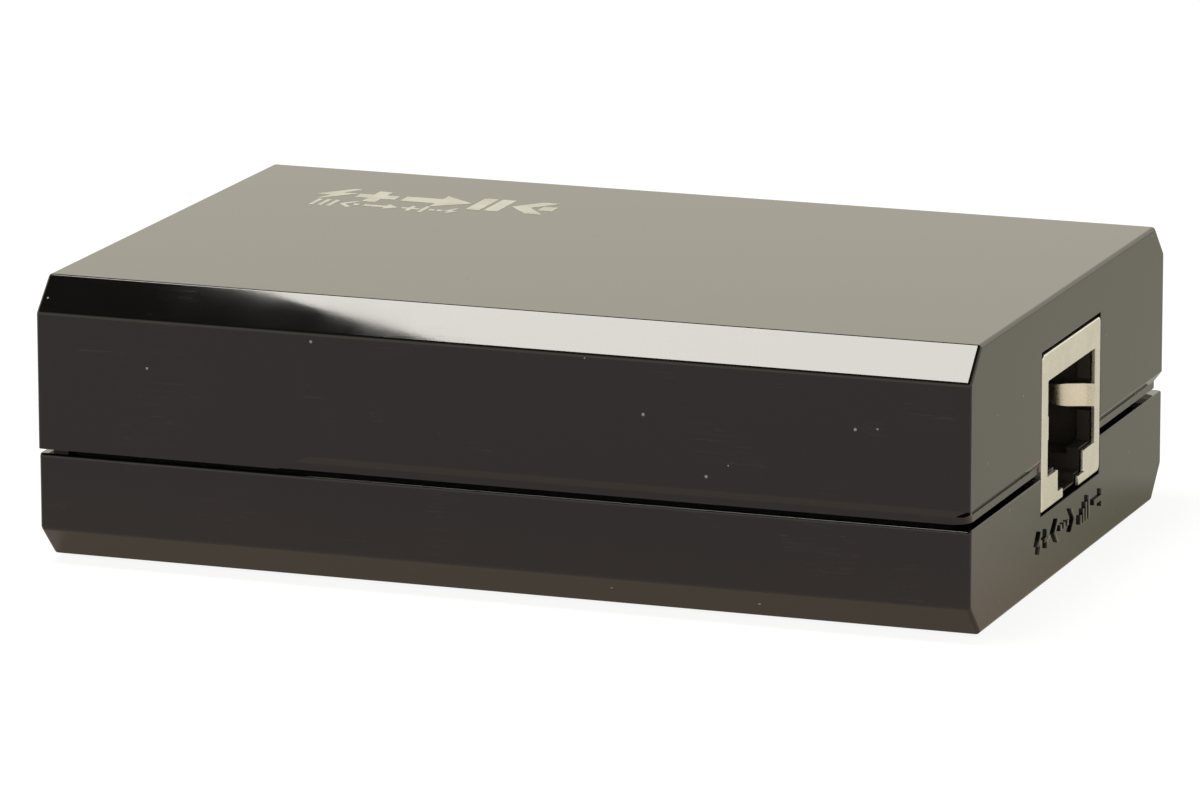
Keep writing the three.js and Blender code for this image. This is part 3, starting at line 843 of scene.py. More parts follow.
def wireTree():
    # round wires that follow one bent path, a step apart
    inputs = [("Wire Radius", "Float", 0.2), ("Count", "Int", 8)]
    inputs += [("Step", "Vector", (0.0, 1.0, 0.0))]
    tree, source, sink = newTree("rowOfWires", inputs)
    path = put(tree, "GeometryNodeMeshToCurve", {"Mesh": source.outputs["Geometry"]})
    wire = roundWire(tree, source, path.outputs["Curve"], 12)
    return endTree(tree, source, sink, copiesOf(tree, source, wire))


def coilTree():
    # one layer of a helix, standing on the origin
    inputs = [("Coil Radius", "Float", 4.0), ("Turns", "Float", 6.0), ("Height", "Float", 4.0)]
    inputs += [("Wire Radius", "Float", 0.2)]
    tree, source, sink = newTree("coilOfWire", inputs)
    radius = source.outputs["Coil Radius"]
    winding = {"Resolution": 32, "Rotations": source.outputs["Turns"]}
    winding.update({"Start Radius": radius, "End Radius": radius})
    winding["Height"] = source.outputs["Height"]
    helix = put(tree, "GeometryNodeCurveSpiral", winding)
    return endTree(tree, source, sink, roundWire(tree, source, helix.outputs["Curve"], 10))


trees = {"row": rowTree(), "wires": wireTree(), "coil": coilTree()}


def grow(shape, key, values, finish):
    # runs a tree on a shape and keeps the result as a plain mesh
    tree = trees[key]
    modifier = shape.modifiers.new(tree.name, "NODES")
    modifier.node_group = tree
    sockets = {
        item.name: item.identifier for item in tree.interface.items_tree
        if item.item_type == "SOCKET" and item.in_out == "INPUT"
    }
    for label, value in values.items():
        modifier[sockets[label]] = value
    modifier[sockets["Material"]] = finishes[finish]
    return paint(bake(shape), finish)


# housing

housing = {
    "length": 80.4,
    "width": 54.0,
    "top": 23.985,
    "base": 0.3,
    "wall": 1.8,
    "chamfer": 2.7,
    "sideInset": 0.2,
    "seamLow": 9.37,
    "seamHigh": 9.8,
    "lipRadius": 0.3,
    "endLipRadius": 0.1,
    "topRadius": 0.28,
    "sideRadius": 0.6,
    "endRadius": 0.35,
    "bandTop": 11.05,
    "bandDepth": 0.3,
    "bandSlope": 0.68,
    "beadDepth": 1.0,
    "beadTop": 9.7,
    "bandCorner": 1.5,
    "rampStart": -18.9,
    "rampEnd": -16.25,
    "tongueTop": 11.2,
    "tongueDepth": 2.0,
    "tongueThick": 0.9,
    "rimLow": 7.6,
    "windowSoft": 0.12,
    "markProud": 0.2,
    "markLow": 3.15,
}
light = {"y": 20.5, "height": 14.0, "radius": 1.3, "columnX": -36.0, "half": 1.2}
halfLength = housing["length"] / 2
halfWidth = housing["width"] / 2
boardTop = 6.5
boardSize = {"length": 74.2, "width": 47.6, "low": 4.9, "corner": 1.2, "hole": 1.4}
boardHoles = [(29, 20.3), (-29, 20.3), (29, -20.3), (-29, -20.3)]
screwSpots = [(29, 20.3), (-29, -20.3)]
footSpots = [(x, y) for x in (32, -32) for y in (-18.5, 18.5)]


def mirrored(points):
    # the other half of an outline that is symmetric about u = 0
    return points + [(-u, v) for u, v in reversed(points)]


def coverProfile(grow, lowZ):
    half = halfWidth - grow
    corner = housing["chamfer"] - grow * (2 - math.sqrt(2))
    top = housing["top"] - grow
    return mirrored([(half, lowZ), (half, top - corner), (half - corner, top)])


def baseProfile(grow, highZ):
    half = halfWidth - housing["sideInset"] - grow
    corner = housing["chamfer"] - grow * (2 - math.sqrt(2))
    low = housing["base"] + grow
    return mirrored([(half - corner, low), (half, low + corner), (half, highZ)])


portPlaces = {
    "out": {"x": 40.25, "y": 0.3, "turn": 0.0},
    "in": {"x": -40.25, "y": -8.0, "turn": math.pi},
}
socketPlace = {"x": -40.25, "y": 12.0, "turn": math.pi}
fitGap = 0.15
loose = 0.27
# openings in the end walls: place, width, height and the gap above and below
openings = [
    (portPlaces["out"], 16.1, 13.1, loose),
    (portPlaces["in"], 16.1, 13.1, loose),
    (socketPlace, 9.0, 11.0, fitGap),
]


def placeOf(place):
    spot = Matrix.Translation((place["x"], place["y"], boardTop))
    return spot @ Matrix.Rotation(place["turn"], 4, "Z")


def windowCutters():
    cutters = []
    for spot, wide, tall, gap in openings:
        end = math.copysign(1, spot["x"])
        near, far = sorted((end * (halfLength - 4), end * (halfLength + 1)))
        left = spot["y"] - wide / 2 - fitGap
        right = spot["y"] + wide / 2 + fitGap
        cutters.append(block("window", near, far, left, right, boardTop - gap, boardTop + tall + gap))
    return cutters


def onEndWall(first, second):
    # edges of an opening, in the plane of an end wall and away from its outer rim
    face = halfLength - 0.5
    inside = halfWidth - 4
    return all(abs(p.x) > face and abs(p.y) < inside and 5.5 < p.z < 20.5 for p in (first, second))


def planRing(z, inset, radius, sideInset=None):
    # the body's outline in plan at one height, drawn inwards
    u = halfLength - inset
    v = halfWidth - (inset if sideInset is None else sideInset)
    corners = [(-u, -v), (u, -v), (u, v), (-u, v)]
    return [(x, y, z) for x, y in roundCorners(corners, [radius] * 4, 8)]


def bandCutter():
    # a shallow band above the seam: its upper edge slopes, and its corners are rounded in plan
    depth = housing["bandDepth"]
    corner = housing["bandCorner"]
    top = housing["bandTop"]
    low = housing["seamHigh"] - 1
    slopeLow = top - housing["bandSlope"]
    outerX = halfLength + 1
    outerY = halfWidth + 1
    slab = block("band", -outerX, outerX, -outerY, outerY, low, top + 0.05)
    core = lofted(
        "core",
        [
            planRing(low - 1, depth, corner), planRing(slopeLow - 0.03, depth, corner),
            planRing(slopeLow + 0.05, depth * 0.95, corner * 0.95),
            planRing(top - 0.1, depth * 0.13, corner * 0.2), planRing(top - 0.03, depth * 0.02, 0.1),
            planRing(top + 0.051, -0.01, 0.02), planRing(top + 1, -0.01, 0.02)
        ]
    )
    carve(slab, [core])
    ramp = [
        (housing["rampStart"], low - 0.5), (outerX + 1, low - 0.5), (outerX + 1, top + 1),
        (housing["rampEnd"] + 0.12, top + 1), (housing["rampEnd"] + 0.12, top - 0.02),
        (housing["rampEnd"] - 0.1, top - 0.09), (housing["rampStart"], housing["seamHigh"])
    ]
    limit = prism("ramp", ramp, -outerY - 1, outerY + 1, "y")
    return combine(slab, [limit], "INTERSECT")


def lipCutter():
    # rounds the base's rim: more on the long sides than on the ends
    top = housing["seamLow"]
    side = housing["lipRadius"]
    end = housing["endLipRadius"]

    def bite(radius, below):
        rise = max(0.0, 1 - below / radius)
        return radius * (1 - math.sqrt(1 - rise * rise))

    rings = [planRing(top - side - 0.4, -0.02, 0.05, housing["sideInset"] - 0.02)]
    for below in (0.3, 0.2, 0.12, 0.08, 0.05, 0.025, 0.008, 0.0):
        sideBite = housing["sideInset"] + bite(side, below)
        rings.append(planRing(top - below, bite(end, below) - 0.001, 0.35, sideBite - 0.001))
    rings.append(planRing(top + 1, end, 0.35, housing["sideInset"] + side))
    outer = (halfLength + 1, halfWidth + 1)
    slab = block("lip", -outer[0], outer[0], -outer[1], outer[1], top - side - 0.2, top + 0.5)
    return carve(slab, [lofted("core", rings)])


def snapArm(x, side):
    outline = [
        (housing["wall"] - 0.1, housing["top"] - housing["wall"]),
        (housing["wall"] - 0.1, housing["tongueTop"] + 0.3), (3.1, housing["tongueTop"] + 0.3),
        (3.1, housing["rimLow"] - 0.2), (2.3, housing["rimLow"] - 0.2), (3.1, 6.75), (4.1, 6.75),
        (4.1, housing["top"] - housing["wall"] + 0.1)
    ]
    points = [(side * (halfWidth - depth), z) for depth, z in outline]
    return prism("snapArm", points, x - 3, x + 3, "x")


def shellSkin(name, outline, radii):
    ends = (-halfLength, halfLength)
    return roundedPrism(name, outline, radii, *ends, housing["endRadius"], steps=4)


def shellHollow(outline):
    inner = halfLength - housing["wall"]
    return roundedPrism("hollow", outline, [0.35] * 6, -inner, inner, 0.35)


def finishShell(name, skin, cutters):
    carve(skin, windowCutters() + cutters)
    soften(skin, housing["windowSoft"], onEndWall)
    return settle(paint(skin, "shell"), "housing", [name])


def makeUpperShell():
    low = housing["seamHigh"]
    wall = housing["wall"]
    half = [0.05, housing["sideRadius"], housing["topRadius"]]
    skin = shellSkin("upper_shell", coverProfile(0, low - 1), half + half[::-1])
    below = block("below", -60, 60, -60, 60, low - 3, low)
    carve(skin, [shellHollow(coverProfile(wall, low - 2)), below, bandCutter()])
    weld(skin, [snapArm(x, side) for x in (22, -22) for side in (1, -1)])
    spot = (0, light["y"], light["height"])
    near = -halfLength - 1
    hole = cylinder("hole", 1.45, near, near + wall + 2, spot, "x", 32)
    return finishShell("upper_shell", skin, [hole])


def plusSign(middle, arm, reach):
    corners = [(-arm, -reach), (arm, -reach), (arm, -arm), (reach, -arm), (reach, arm), (arm, arm)]
    corners += [(-u, -v) for u, v in corners]
    return [(middle + u, 1 + v) for u, v in corners]


# pictograms as outlines in (across, up), 2 mm tall
bolt = [(0.9, 2), (0.1, 0.85), (0.75, 0.85), (0.5, 0), (1.5, 1.2), (0.85, 1.2), (1.2, 2)]
plus = plusSign(0.7, 0.2, 0.8)
chevron = [(0, 1), (1, 0), (1.5, 0), (0.55, 1), (1.5, 2), (1, 2)]
chevronBack = [(1.5 - u, v) for u, v in reversed(chevron)]
arrow = [(0, 0.75), (2, 0.75), (2, 0.2), (3.2, 1), (2, 1.8), (2, 1.25), (0, 1.25)]
bar = [(0, 0), (0.4, 0), (0.4, 2), (0, 2)]
dot = [(0, 0.75), (0.5, 0.75), (0.5, 1.25), (0, 1.25)]
networkGlyph = [(chevron, 0), (dot, 2.1), (dot, 3.2), (dot, 4.3), (chevronBack, 5.4)]
signalBars = [
    ([(0, 0), (0.4, 0), (0.4, high), (0, high)], 0.75 * i)
    for i, high in enumerate((0.8, 1.2, 1.6, 2.0))
]
endMarks = [
    {
        "end": 1, "start": -9.4,
        "row": [(bolt, 0), (plus, 2.1)] + [
            (glyph, at * 0.85 + 4.6) for glyph, at in networkGlyph
        ] + [(glyph, at + 12) for glyph, at in signalBars] + [(arrow, 15.9)]
    },
    {
        "end": -1, "start": -1.4,
        "row": [(arrow, 0), (bar, 3.6)] + [(glyph, at + 6) for glyph, at in networkGlyph]
    },
    {"end": -1, "start": 14.6, "row": [(bolt, 0), (dot, 3), (bar, 4.6)]}
]


def anticlockwise(points):
    area = sum(
        points[i - 1][0] * points[i][1] - points[i][0] * points[i - 1][1] for i in range(len(points))
    )
    return points if area > 0 else list(reversed(points))


def raisedMarks():
    marks = []
    for group in endMarks:
        end = group["end"]
        low, high = sorted((end * (halfLength - 0.3), end * (halfLength + housing["markProud"])))
        for glyph, at in group["row"]:
            outline = [(group["start"] + end * (at + u), housing["markLow"] + v) for u, v in glyph]
            radii = [0.04] * len(outline)
            ends = (end < 0, end > 0)
            points = anticlockwise(outline)
            marks.append(roundedPrism("mark", points, radii, low, high, 0.05, steps=2, ends=ends))
    return marks


def boardPost(x, y, screwed):
    floorZ = housing["base"] + housing["wall"]
    foot = floorZ - 0.3
    top = boardSize["low"] - 0.05
    profile = [(0, foot), (3.6, foot), (3.6, floorZ), (3.15, floorZ + 0.3), (3, floorZ + 0.7)]
    profile += [(3, top - 0.15), (2.85, top)]
    if not screwed:
        profile += [(1.2, top), (1.2, boardTop + 0.6), (0.95, boardTop + 0.9)]
    profile += [(0, profile[-1][1])]
    post = turned("post", profile, (x, y, 0), steps=32)
    bore = [cylinder("bore", 1.15, floorZ, top + 1, (x, y, 0), steps=24)] if screwed else []
    return post, bore


def makeTongue():
    # the ledge inside the rim and the tongue that stands in the cover
    rimLow = housing["rimLow"]
    tongueX = halfLength - housing["tongueDepth"]
    tongueY = halfWidth - housing["tongueDepth"]
    gripX = halfLength - housing["wall"] + 0.3
    gripY = tongueY + 0.3
    high = housing["tongueTop"]
    ledge = block("ledge", -gripX, gripX, -gripY, gripY, rimLow, housing["seamLow"] - 0.35)
    outline = rectangle(0, 0, 2 * tongueX, 2 * tongueY)
    weld(ledge, [plate("tongue", outline, 0.3, rimLow, high, 0.2, ends=(False, True))])
    u = tongueX - housing["tongueThick"]
    v = tongueY - housing["tongueThick"]
    return carve(ledge, [block("inside", -u, u, -v, v, rimLow - 1, high + 1)])


def makeLowerShell():
    high = housing["seamLow"]
    half = [0.3, housing["sideRadius"], 0.05]
    skin = shellSkin("lower_shell", baseProfile(0, high + 1), half + half[::-1])
    above = block("above", -60, 60, -60, 60, high, high + 3)
    carve(skin, [shellHollow(baseProfile(housing["wall"], high + 2)), above, lipCutter()])
    # a bead on the rim closes the seam's corner at the far end
    beadX = halfLength - housing["beadDepth"]
    beadY = halfWidth - housing["beadDepth"]
    beadEnd = housing["tongueDepth"] + 0.3 - halfLength
    bead = block("bead", -beadX, beadEnd, -beadY, beadY, high - 0.5, housing["beadTop"])
    posts = []
    cutters = []
    for x, y in boardHoles:
        post, bore = boardPost(x, y, (x, y) in screwSpots)
        posts.append(post)
        cutters += bore
    weld(skin, [makeTongue(), bead] + posts)
    weld(skin, raisedMarks())
    for x, y in footSpots:
        cutters.append(cylinder("recess", 4.2, -1, 0.9, (x, y, 0)))
    label = rectangle(0, 0, 36, 20)
    ends = (False, False)
    cutters.append(plate("recess", label, 1.0, -1, housing["base"] + 0.25, 0.05, ends=ends))
    return finishShell("lower_shell", skin, cutters)


makeUpperShell()
print("upper shell ready")
makeLowerShell()
print("lower shell ready")

# printed pictograms on top, a few microns proud of the cover

boldBolt = [(1.15, 2), (0, 0.8), (0.65, 0.8), (0.3, 0), (1.7, 1.3), (1.0, 1.3), (1.6, 2)]
boldPlus = plusSign(0.8, 0.3, 0.9)
boldArrow = [(0, 0.62), (1.6, 0.62), (1.6, 0.05), (3.1, 1), (1.6, 1.95), (1.6, 1.38), (0, 1.38)]
boldBar = [(0, 0), (0.62, 0), (0.62, 2), (0, 2)]
boldChevron = [(0, 1), (1.0, 0), (1.8, 0), (0.85, 1), (1.8, 2), (1.0, 2)]
boldDot = [(0, 0.65), (0.65, 0.65), (0.65, 1.35), (0, 1.35)]

topPrint = {
    "thick": 0.014,
    "rows": [
        {
            "scale": (2.02, 2.4),
            "x": -31.7,
            "y": 11.6,
            "row": [(boldBolt, 0), (boldPlus, 1.9), (boldArrow, 3.9)]
            + [(boldBar, 7.15), (boldBar, 7.95), (boldChevron, 8.8), (boldDot, 10.1)],
        },
        {
            "scale": (1.0, 1.25),
            "x": -30.7,
            "y": 9.1,
            "row": [(bar, at * 0.8) for at in range(3)]
            + [(chevron, 2.4), (dot, 3.7), (arrow, 4.6), (plus, 8.2), (bar, 9.9)]
            + [(dot, 10.6), (dot, 11.3), (bolt, 11.7)],
        },
    ],
}


def makeTopPrint():
    glyphs = []
    low = housing["top"] - 0.004
    high = housing["top"] + topPrint["thick"]
    for line in topPrint["rows"]:
        wide, tall = line["scale"]
        for glyph, at in line["row"]:
            points = [(line["x"] + wide * (at + u), line["y"] + tall * v) for u, v in glyph]
            outline = roundCorners(anticlockwise(points), [0.05] * len(points), 2)
            glyphs.append(paint(prism("glyph", outline, low, high, "z"), "print"))
    settle(gather("top_print", glyphs), "housing")


makeTopPrint()
print("top print ready")

# network ports, in a frame with x = 0 at the mouth, facing +x, and z = 0 on the board

port = {
    "width": 16.1,
    "height": 13.1,
    "depth": 21.0,
    "sheet": 0.3,
    "windowHalf": 6.57,
    "windowTop": 10.7,
    "shoulder": 2.7,
    "latchHalf": 3.7,
    "step": 0.85,
    "notchHalf": 2.25,
    "cavity": 14.2,
    "lip": 1.5,
    "recessHalf": 7.0,
    "pitch": 1.02,
    "wireRadius": 0.18,
    "springLow": 5.76,
    "springHigh": 7.75,
    "springThick": 0.2,
}


def mouthPoints(inset, low):
    right = [
        (port["notchHalf"] - inset, low), (port["notchHalf"] - inset, port["step"] + inset),
        (port["latchHalf"] - inset, port["step"] + inset),
        (port["latchHalf"] - inset, port["shoulder"] + inset),
        (port["windowHalf"] - inset, port["shoulder"] + inset),
        (port["windowHalf"] - inset, port["windowTop"])
    ]
    return mirrored(right)


mouthRadii = [0.05] + [0.12] * 10 + [0.05]


def slit(x0, x1, y0, y1, z, gap=0.25):
    # a U of narrow gaps that frees a tongue in a sheet: the open side is towards +x
    low = z - 0.6
    high = z + 0.6
    return [
        block("slit", x0, x1, y0, y0 + gap, low, high), block("slit", x0, x1, y1 - gap, y1, low, high),
        block("slit", x0, x0 + gap, y0, y1, low, high)
    ]


def makeShield(prefix, place):
    half = port["width"] / 2
    high = port["height"]
    sheet = port["sheet"]
    depth = port["depth"]
    name = prefix + "_jack_shield"
    points = [(half, 0.02), (half, high), (-half, high), (-half, 0.02)]
    skin = roundedPrism(name, points, [0.6, 0.4, 0.4, 0.1], -depth, 0, 0.14)
    inside = mirrored([(half - sheet, -1), (half - sheet, high - sheet)])
    hollow = roundedPrism("hollow", inside, [0.05, 0.15, 0.15, 0.05], sheet - depth, -sheet, 0.05)
    outline = roundCorners(mouthPoints(0, -1), mouthRadii, 3)
    carve(skin, [hollow, prism("mouth", outline, -1, 1, "x")])
    slits = slit(-15, -9, 2.2, 4.6, high) + slit(-15, -9, -4.6, -2.2, high)
    for side in (1, -1):
        low, up = sorted((side * (half - 0.6), side * (half + 0.6)))
        slits.append(block("slit", -16, -11, low, up, 7.6, 7.85))
        slits.append(block("slit", -16, -11, low, up, 5.15, 5.4))
        slits.append(block("slit", -16, -15.75, low, up, 5.15, 7.85))
    carve(skin, slits)

    def atMouth(first, second):
        inFront = first.x > -0.05 and second.x > -0.05
        return inFront and max(abs(first.y), abs(second.y)) < half - 0.6

    parts = [soften(skin, 0.05, atMouth)]
    # solder pegs at the bottom edge
    for x in (-5.5, -16.5):
        for side in (1, -1):
            peg = block("peg", x - 0.7, x + 0.7, -0.15, 0.15, -2.3, 0.4)
            parts.append(soften(shifted(peg, 0, side * (half - 0.15), 0), 0.06))
    whole = gather(name, [paint(part, "steel") for part in parts])
    settle(whole, "housing", [name], place)


def makeInsert(prefix, place):
    sheet = port["sheet"]
    gap = 0.15
    half = port["width"] / 2 - sheet - gap
    front = -sheet - gap
    back = sheet + gap - port["depth"]
    high = port["height"] - sheet - gap
    cavity = port["cavity"]
    pitch = port["pitch"]
    shoulder = port["shoulder"] - 0.4
    name = prefix + "_jack_insert"
    points = [(half, 0.1), (half, high), (-half, high), (-half, 0.1)]
    body = roundedPrism(name, points, [0.2, 0.3, 0.3, 0.2], back, front, 0.12)
    outline = roundCorners(mouthPoints(0.15, 0.32), mouthRadii, 2)
    mouth = prism("mouth", outline, -cavity, 1, "x")
    wide = port["recessHalf"]
    top = port["windowTop"]
    recess = block("recess", -cavity, -port["lip"], -wide, wide, shoulder, top)
    pocketHalf = 4 * pitch + 0.3
    pocket = block("pocket", 0.4 - cavity, -1.7, -pocketHalf, pocketHalf, top - 0.1, 12.3)
    wayLow = port["springLow"] - 0.35
    wayHigh = port["springHigh"] + 0.35
    ways = block("way", -port["lip"] - 0.1, 1, -wide, wide, wayLow, wayHigh)
    carve(body, [mouth, recess, ways, pocket])
    # comb ribs that keep the free ends of the contacts apart
    side = [(-cavity - 0.3, 5.9), (-11.2, 5.9), (-11.2, 8.0), (-cavity - 0.3, 9.4)]
    first = -4 * pitch
    radii = [0.05, 0.3, 0.3, 0.05]
    rib = roundedPrism("rib", side, radii, first - 0.13, first + 0.13, 0.04, "y")
    grow(rib, "row", {"Count": 9, "Step": (0.0, pitch, 0.0)}, "portPlastic")
    weld(body, [rib])
    settle(paint(body, "portPlastic"), "housing", [name], place)


def makeContacts(prefix, place):
    centre = Vector((-2.7, 11.1))
    bend = 0.5
    slope = math.atan2(11.1 - 7.25, 12.2 - 2.7)
    begin = math.radians(130)
    last = -math.pi / 2 + slope - math.radians(8)
    path = []
    for k in range(13):
        angle = begin + (last - begin) * k / 12
        path.append(centre + Vector((math.cos(angle), math.sin(angle))) * bend)
    path += smoothPath([path[-1], (-7.2, 9.0), (-11.3, 7.35), (-12.2, 7.55)], 5)[1:]
    # the fixed part: from above the hooks back through the insert and down to the solder side
    bends = [(-3.3, 12.0), (-9, 12.0), (-16.2, 12.0), (-17.2, 11.2), (-17.2, 6), (-17.2, -2.5)]
    start = -3.5 * port["pitch"]
    row = {"Count": 8, "Step": (0.0, port["pitch"], 0.0)}
    wires = strand(prefix + "_contact_wires", path, start)
    grow(wires, "wires", {"Wire Radius": port["wireRadius"], **row}, "gold")
    turnOutwards(wires)
    nodes = [f"{prefix}_contact_{i}" for i in range(1, 9)]
    settle(wires, prefix + "_contacts", nodes, place)
    leads = strand(prefix + "_port_leads", smoothPath(bends, 4), start)
    grow(leads, "wires", {"Wire Radius": 0.17, **row}, "gold")
    turnOutwards(leads)
    settle(leads, "housing", (), place)


def makeGroundSprings(prefix, place):
    middle = (port["springLow"] + port["springHigh"]) / 2
    wide = port["springHigh"] - port["springLow"]
    bends = [(-0.88, 6.3), (-0.98, 6.26), (-1.5, 6.05), (-2.1, 5.81), (-2.5, 5.67), (-2.85, 5.58)]
    bends += [(-3.2, 5.56), (-3.5, 5.62), (-3.75, 5.76)]

    def width(share):
        return wide * (1 - 0.18 * max(0.0, share - 0.45) / 0.55)

    for name, side in (("left", -1), ("right", 1)):
        fold = [Vector((-0.04, 6.5)), Vector((-0.3, 6.44)), Vector((-0.6, 6.37))]
        path = [Vector((p.x, side * p.y)) for p in fold + smoothPath(bends, 4)]
        spring = leaf(f"{prefix}_ground_leaf_{name}", path, width, port["springThick"], middle, "z")
        paint(spring, "springSteel")
        node = f"{prefix}_ground_spring_{name}"
        settle(spring, f"{prefix}_ground_{name}", [node], place)


for prefix, spot in portPlaces.items():
    place = placeOf(spot)
    makeShield(prefix, place)
    makeInsert(prefix, place)
    makeContacts(prefix, place)
    makeGroundSprings(prefix, place)
    print(prefix, "port ready")

# DC socket, in a frame like the ports'

socket = {
    "width": 9.0,
    "height": 11.0,
    "depth": 14.2,
    "boreHeight": 6.5,
    "boreRadius": 3.2,
    "boreDepth": 10.5,
    "pinRadius": 1.0,
    "pinTip": -1.55,
    "terminals": [(-13.2, 0, 2.2), (-7.2, 0, 2.2), (-10.2, 3.9, 0.5)],
}


def makeSocket(place):
    half = socket["width"] / 2
    high = socket["height"]
    centre = (0, 0, socket["boreHeight"])
    bore = socket["boreRadius"]
    depth = socket["boreDepth"]
    points = [(half, 0.02), (half, high), (-half, high), (-half, 0.02)]
    radii = [0.15, 0.6, 0.6, 0.15]
    body = roundedPrism("power_jack_housing", points, radii, -socket["depth"], 0, 0.2)
    profile = [(0, -depth), (bore, -depth), (bore, -0.45), (bore + 0.12, -0.2)]
    profile += [(bore + 0.45, 0.01), (bore + 0.45, 1), (0, 1)]
    mouth = turned("mouth", profile, centre, "x", 64)
    rim = washer("rim", 4.0, 3.85, -0.25, 1, centre, "x", 64)
    slot = block("slot", -13.2, -1.5, -1.2, 1.2, 1.0, 4.1)
    carve(body, [mouth, rim, slot])
    paint(body, "portPlastic")
    settle(body, "housing", ["power_jack_housing"], place)
    r = socket["pinRadius"]
    tip = socket["pinTip"]
    profile = [(0, -10.45), (r, -10.45), (r, tip - 2.1), (r - 0.12, tip - 1.95)]
    profile += [(r - 0.12, tip - 1.75), (r, tip - 1.6), (r, tip - 0.4)]
    profile += [(r - 0.12, tip - 0.15), (r - 0.4, tip - 0.02), (0, tip)]
    pin = paint(turned("power_jack_pin", profile, centre, "x", 40), "plated")
    settle(pin, "housing", ["power_jack_pin"], place)
    bends = [(-12.6, 2), (-8.5, 2.6), (-5.4, 3.75), (-4.6, 3.85), (-3.8, 3.7), (-2.8, 3)]

    def width(share):
        return 1.9 * (1 - 0.3 * max(0.0, share - 0.6))

    spring = leaf("power_jack_spring", smoothPath(bends, 5), width, 0.25, 0, "y")
    paint(spring, "plated")
    settle(spring, "power_contact", ["power_jack_spring"], place)
    # flat terminals go down through the board
    terminals = []
    for x, y, wide in socket["terminals"]:
        outline = mirrored([(-wide / 2, 0.4), (-wide / 2, -2.0), (-wide / 3, -2.4)])
        blade = shifted(prism("blade", outline, x - 0.25, x + 0.25, "x"), 0, y, 0)
        terminals.append(paint(soften(blade, 0.05), "plated"))
    settle(gather("power_jack_terminals", terminals), "housing", (), place)


makeSocket(placeOf(socketPlace))
print("power socket ready")

# light pipe and status light


def makeLightPipe():
    x = light["columnX"]
    y = light["y"]
    half = light["half"]
    radius = light["radius"]
    low, top = 7.6, 15.3
    profile = [(0, -40.15), (0.6, -40.11), (1.0, -40.0), (1.22, -39.84), (radius, -39.6)]
    profile += [(radius, x - 0.3), (0, x - 0.3)]
    rod = turned("rod", profile, (0, y, light["height"]), "x", 40)
    pipe = plate("light_pipe", rectangle(x, y, 2 * half, 2 * half), 0.2, low, top, 0.12)
    # the slanted face at the bend turns the light towards the rod
    slant = [(x + half + 1, top + 1), (x - half + 0.5, top + 1), (x - half + 0.5, top)]
    slant += [(x + half, top - 2 * half + 0.5), (x + half + 1, top - 2 * half + 0.5)]
    weld(pipe, [rod])
    carve(pipe, [prism("slant", slant, y - 3, y + 3, "y")])
    settle(paint(pipe, "clear"), "housing", ["light_pipe"])


def makeStatusLight():
    x = light["columnX"]
    y = light["y"]
    low = boardTop + 0.1
    points = rectangle(x, y, 1.4, 1.3)
    base = plate("base", points, 0.08, low, low + 0.45, 0.03)
    inset = insetPoints(points, 0.06)
    lens = plate("lens", inset, 0.2, low + 0.45, low + 0.8, 0.15, 4, (False, True))
    parts = [paint(base, "ceramic"), paint(lens, "amberLens")]
    for side in (1, -1):
        end = [(x + side * 0.6, y - 0.6), (x + side, y - 0.6)]
        end += [(x + side, y + 0.6), (x + side * 0.6, y + 0.6)]
        cap = plate("cap", anticlockwise(end), 0.05, low, low + 0.35, 0.03)
        parts.append(paint(cap, "tin"))
    settle(gather("status_led", parts), "housing", ["status_led"])


makeLightPipe()
makeStatusLight()
print("light ready")

# board, screws, feet and label


def frameStrip(x, y, wide, deep, line, low, high):
    # a thin rectangular ring, such as a printed outline
    outer = rectangle(x, y, wide, deep)
    inner = rectangle(x, y, wide - 2 * line, deep - 2 * line)
    rings = [(outer, low), (outer, high), (inner, high), (inner, low)]
    vertices = [(u, v, z) for ring, z in rings for u, v in ring]
    faces = []
    for level in range(4):
        for i in range(4):
            j = (i + 1) % 4
            here = level * 4
            there = (level + 1) % 4 * 4
            faces.append((here + i, here + j, there + j, there + i))
    return newShape("frame", vertices, faces)


def makeBoard():
    points = rectangle(0, 0, boardSize["length"], boardSize["width"])
    low = boardSize["low"]
    hole = boardSize["hole"]
    board = plate("circuit_board", points, boardSize["corner"], low, boardTop, 0.05)
    carve(board, [cylinder("hole", hole, low - 1, 7.5, (x, y, 0), steps=40) for x, y in boardHoles])
    paint(board, "mask")
    board.data.materials.append(finishes["laminate"])
    for face in board.data.polygons:
        face.material_index = 0 if abs(face.normal.z) > 0.5 else 1
    parts = [board]
    # a bare metal ring around each hole, on both sides
    for x, y in boardHoles:
        for below, above in ((low - 0.015, low + 0.02), (boardTop - 0.02, boardTop + 0.015)):
            bare = washer("ring", 2.45, hole + 0.02, below, above, (x, y, 0), steps=40)
            parts.append(paint(bare, "tin"))
    settle(gather("circuit_board", parts), "housing", ["circuit_board"])


def makePrintedLines():
    lines = []
    low = boardTop - 0.01
    high = boardTop + 0.02
    for x, y, wide, deep in packages.values():
        lines.append(paint(frameStrip(x, y, wide, deep, 0.15, low, high), "ink"))
    for x, y, radius in roundOutlines:
        circle = washer("circle", radius, radius - 0.15, low, high, (x, y, 0))
        lines.append(paint(circle, "ink"))
    settle(gather("board_outlines", lines), "housing")


def coilOf(values, finish, x, y, z):
    coil = grow(newShape("coil", [(0, 0, 0)], []), "coil", values, finish)
    turnOutwards(shifted(coil, x, y, z))
    return coil


def crossCutter(x, y, top):
    outline = mirrored([(-1.15, 1), (-1.15, 0), (-0.55, -1.05)])
    turns = (0, math.pi / 2)
    return [shifted(prism("cross", outline, -0.24, 0.24, "y"), x, y, top, turn) for turn in turns]


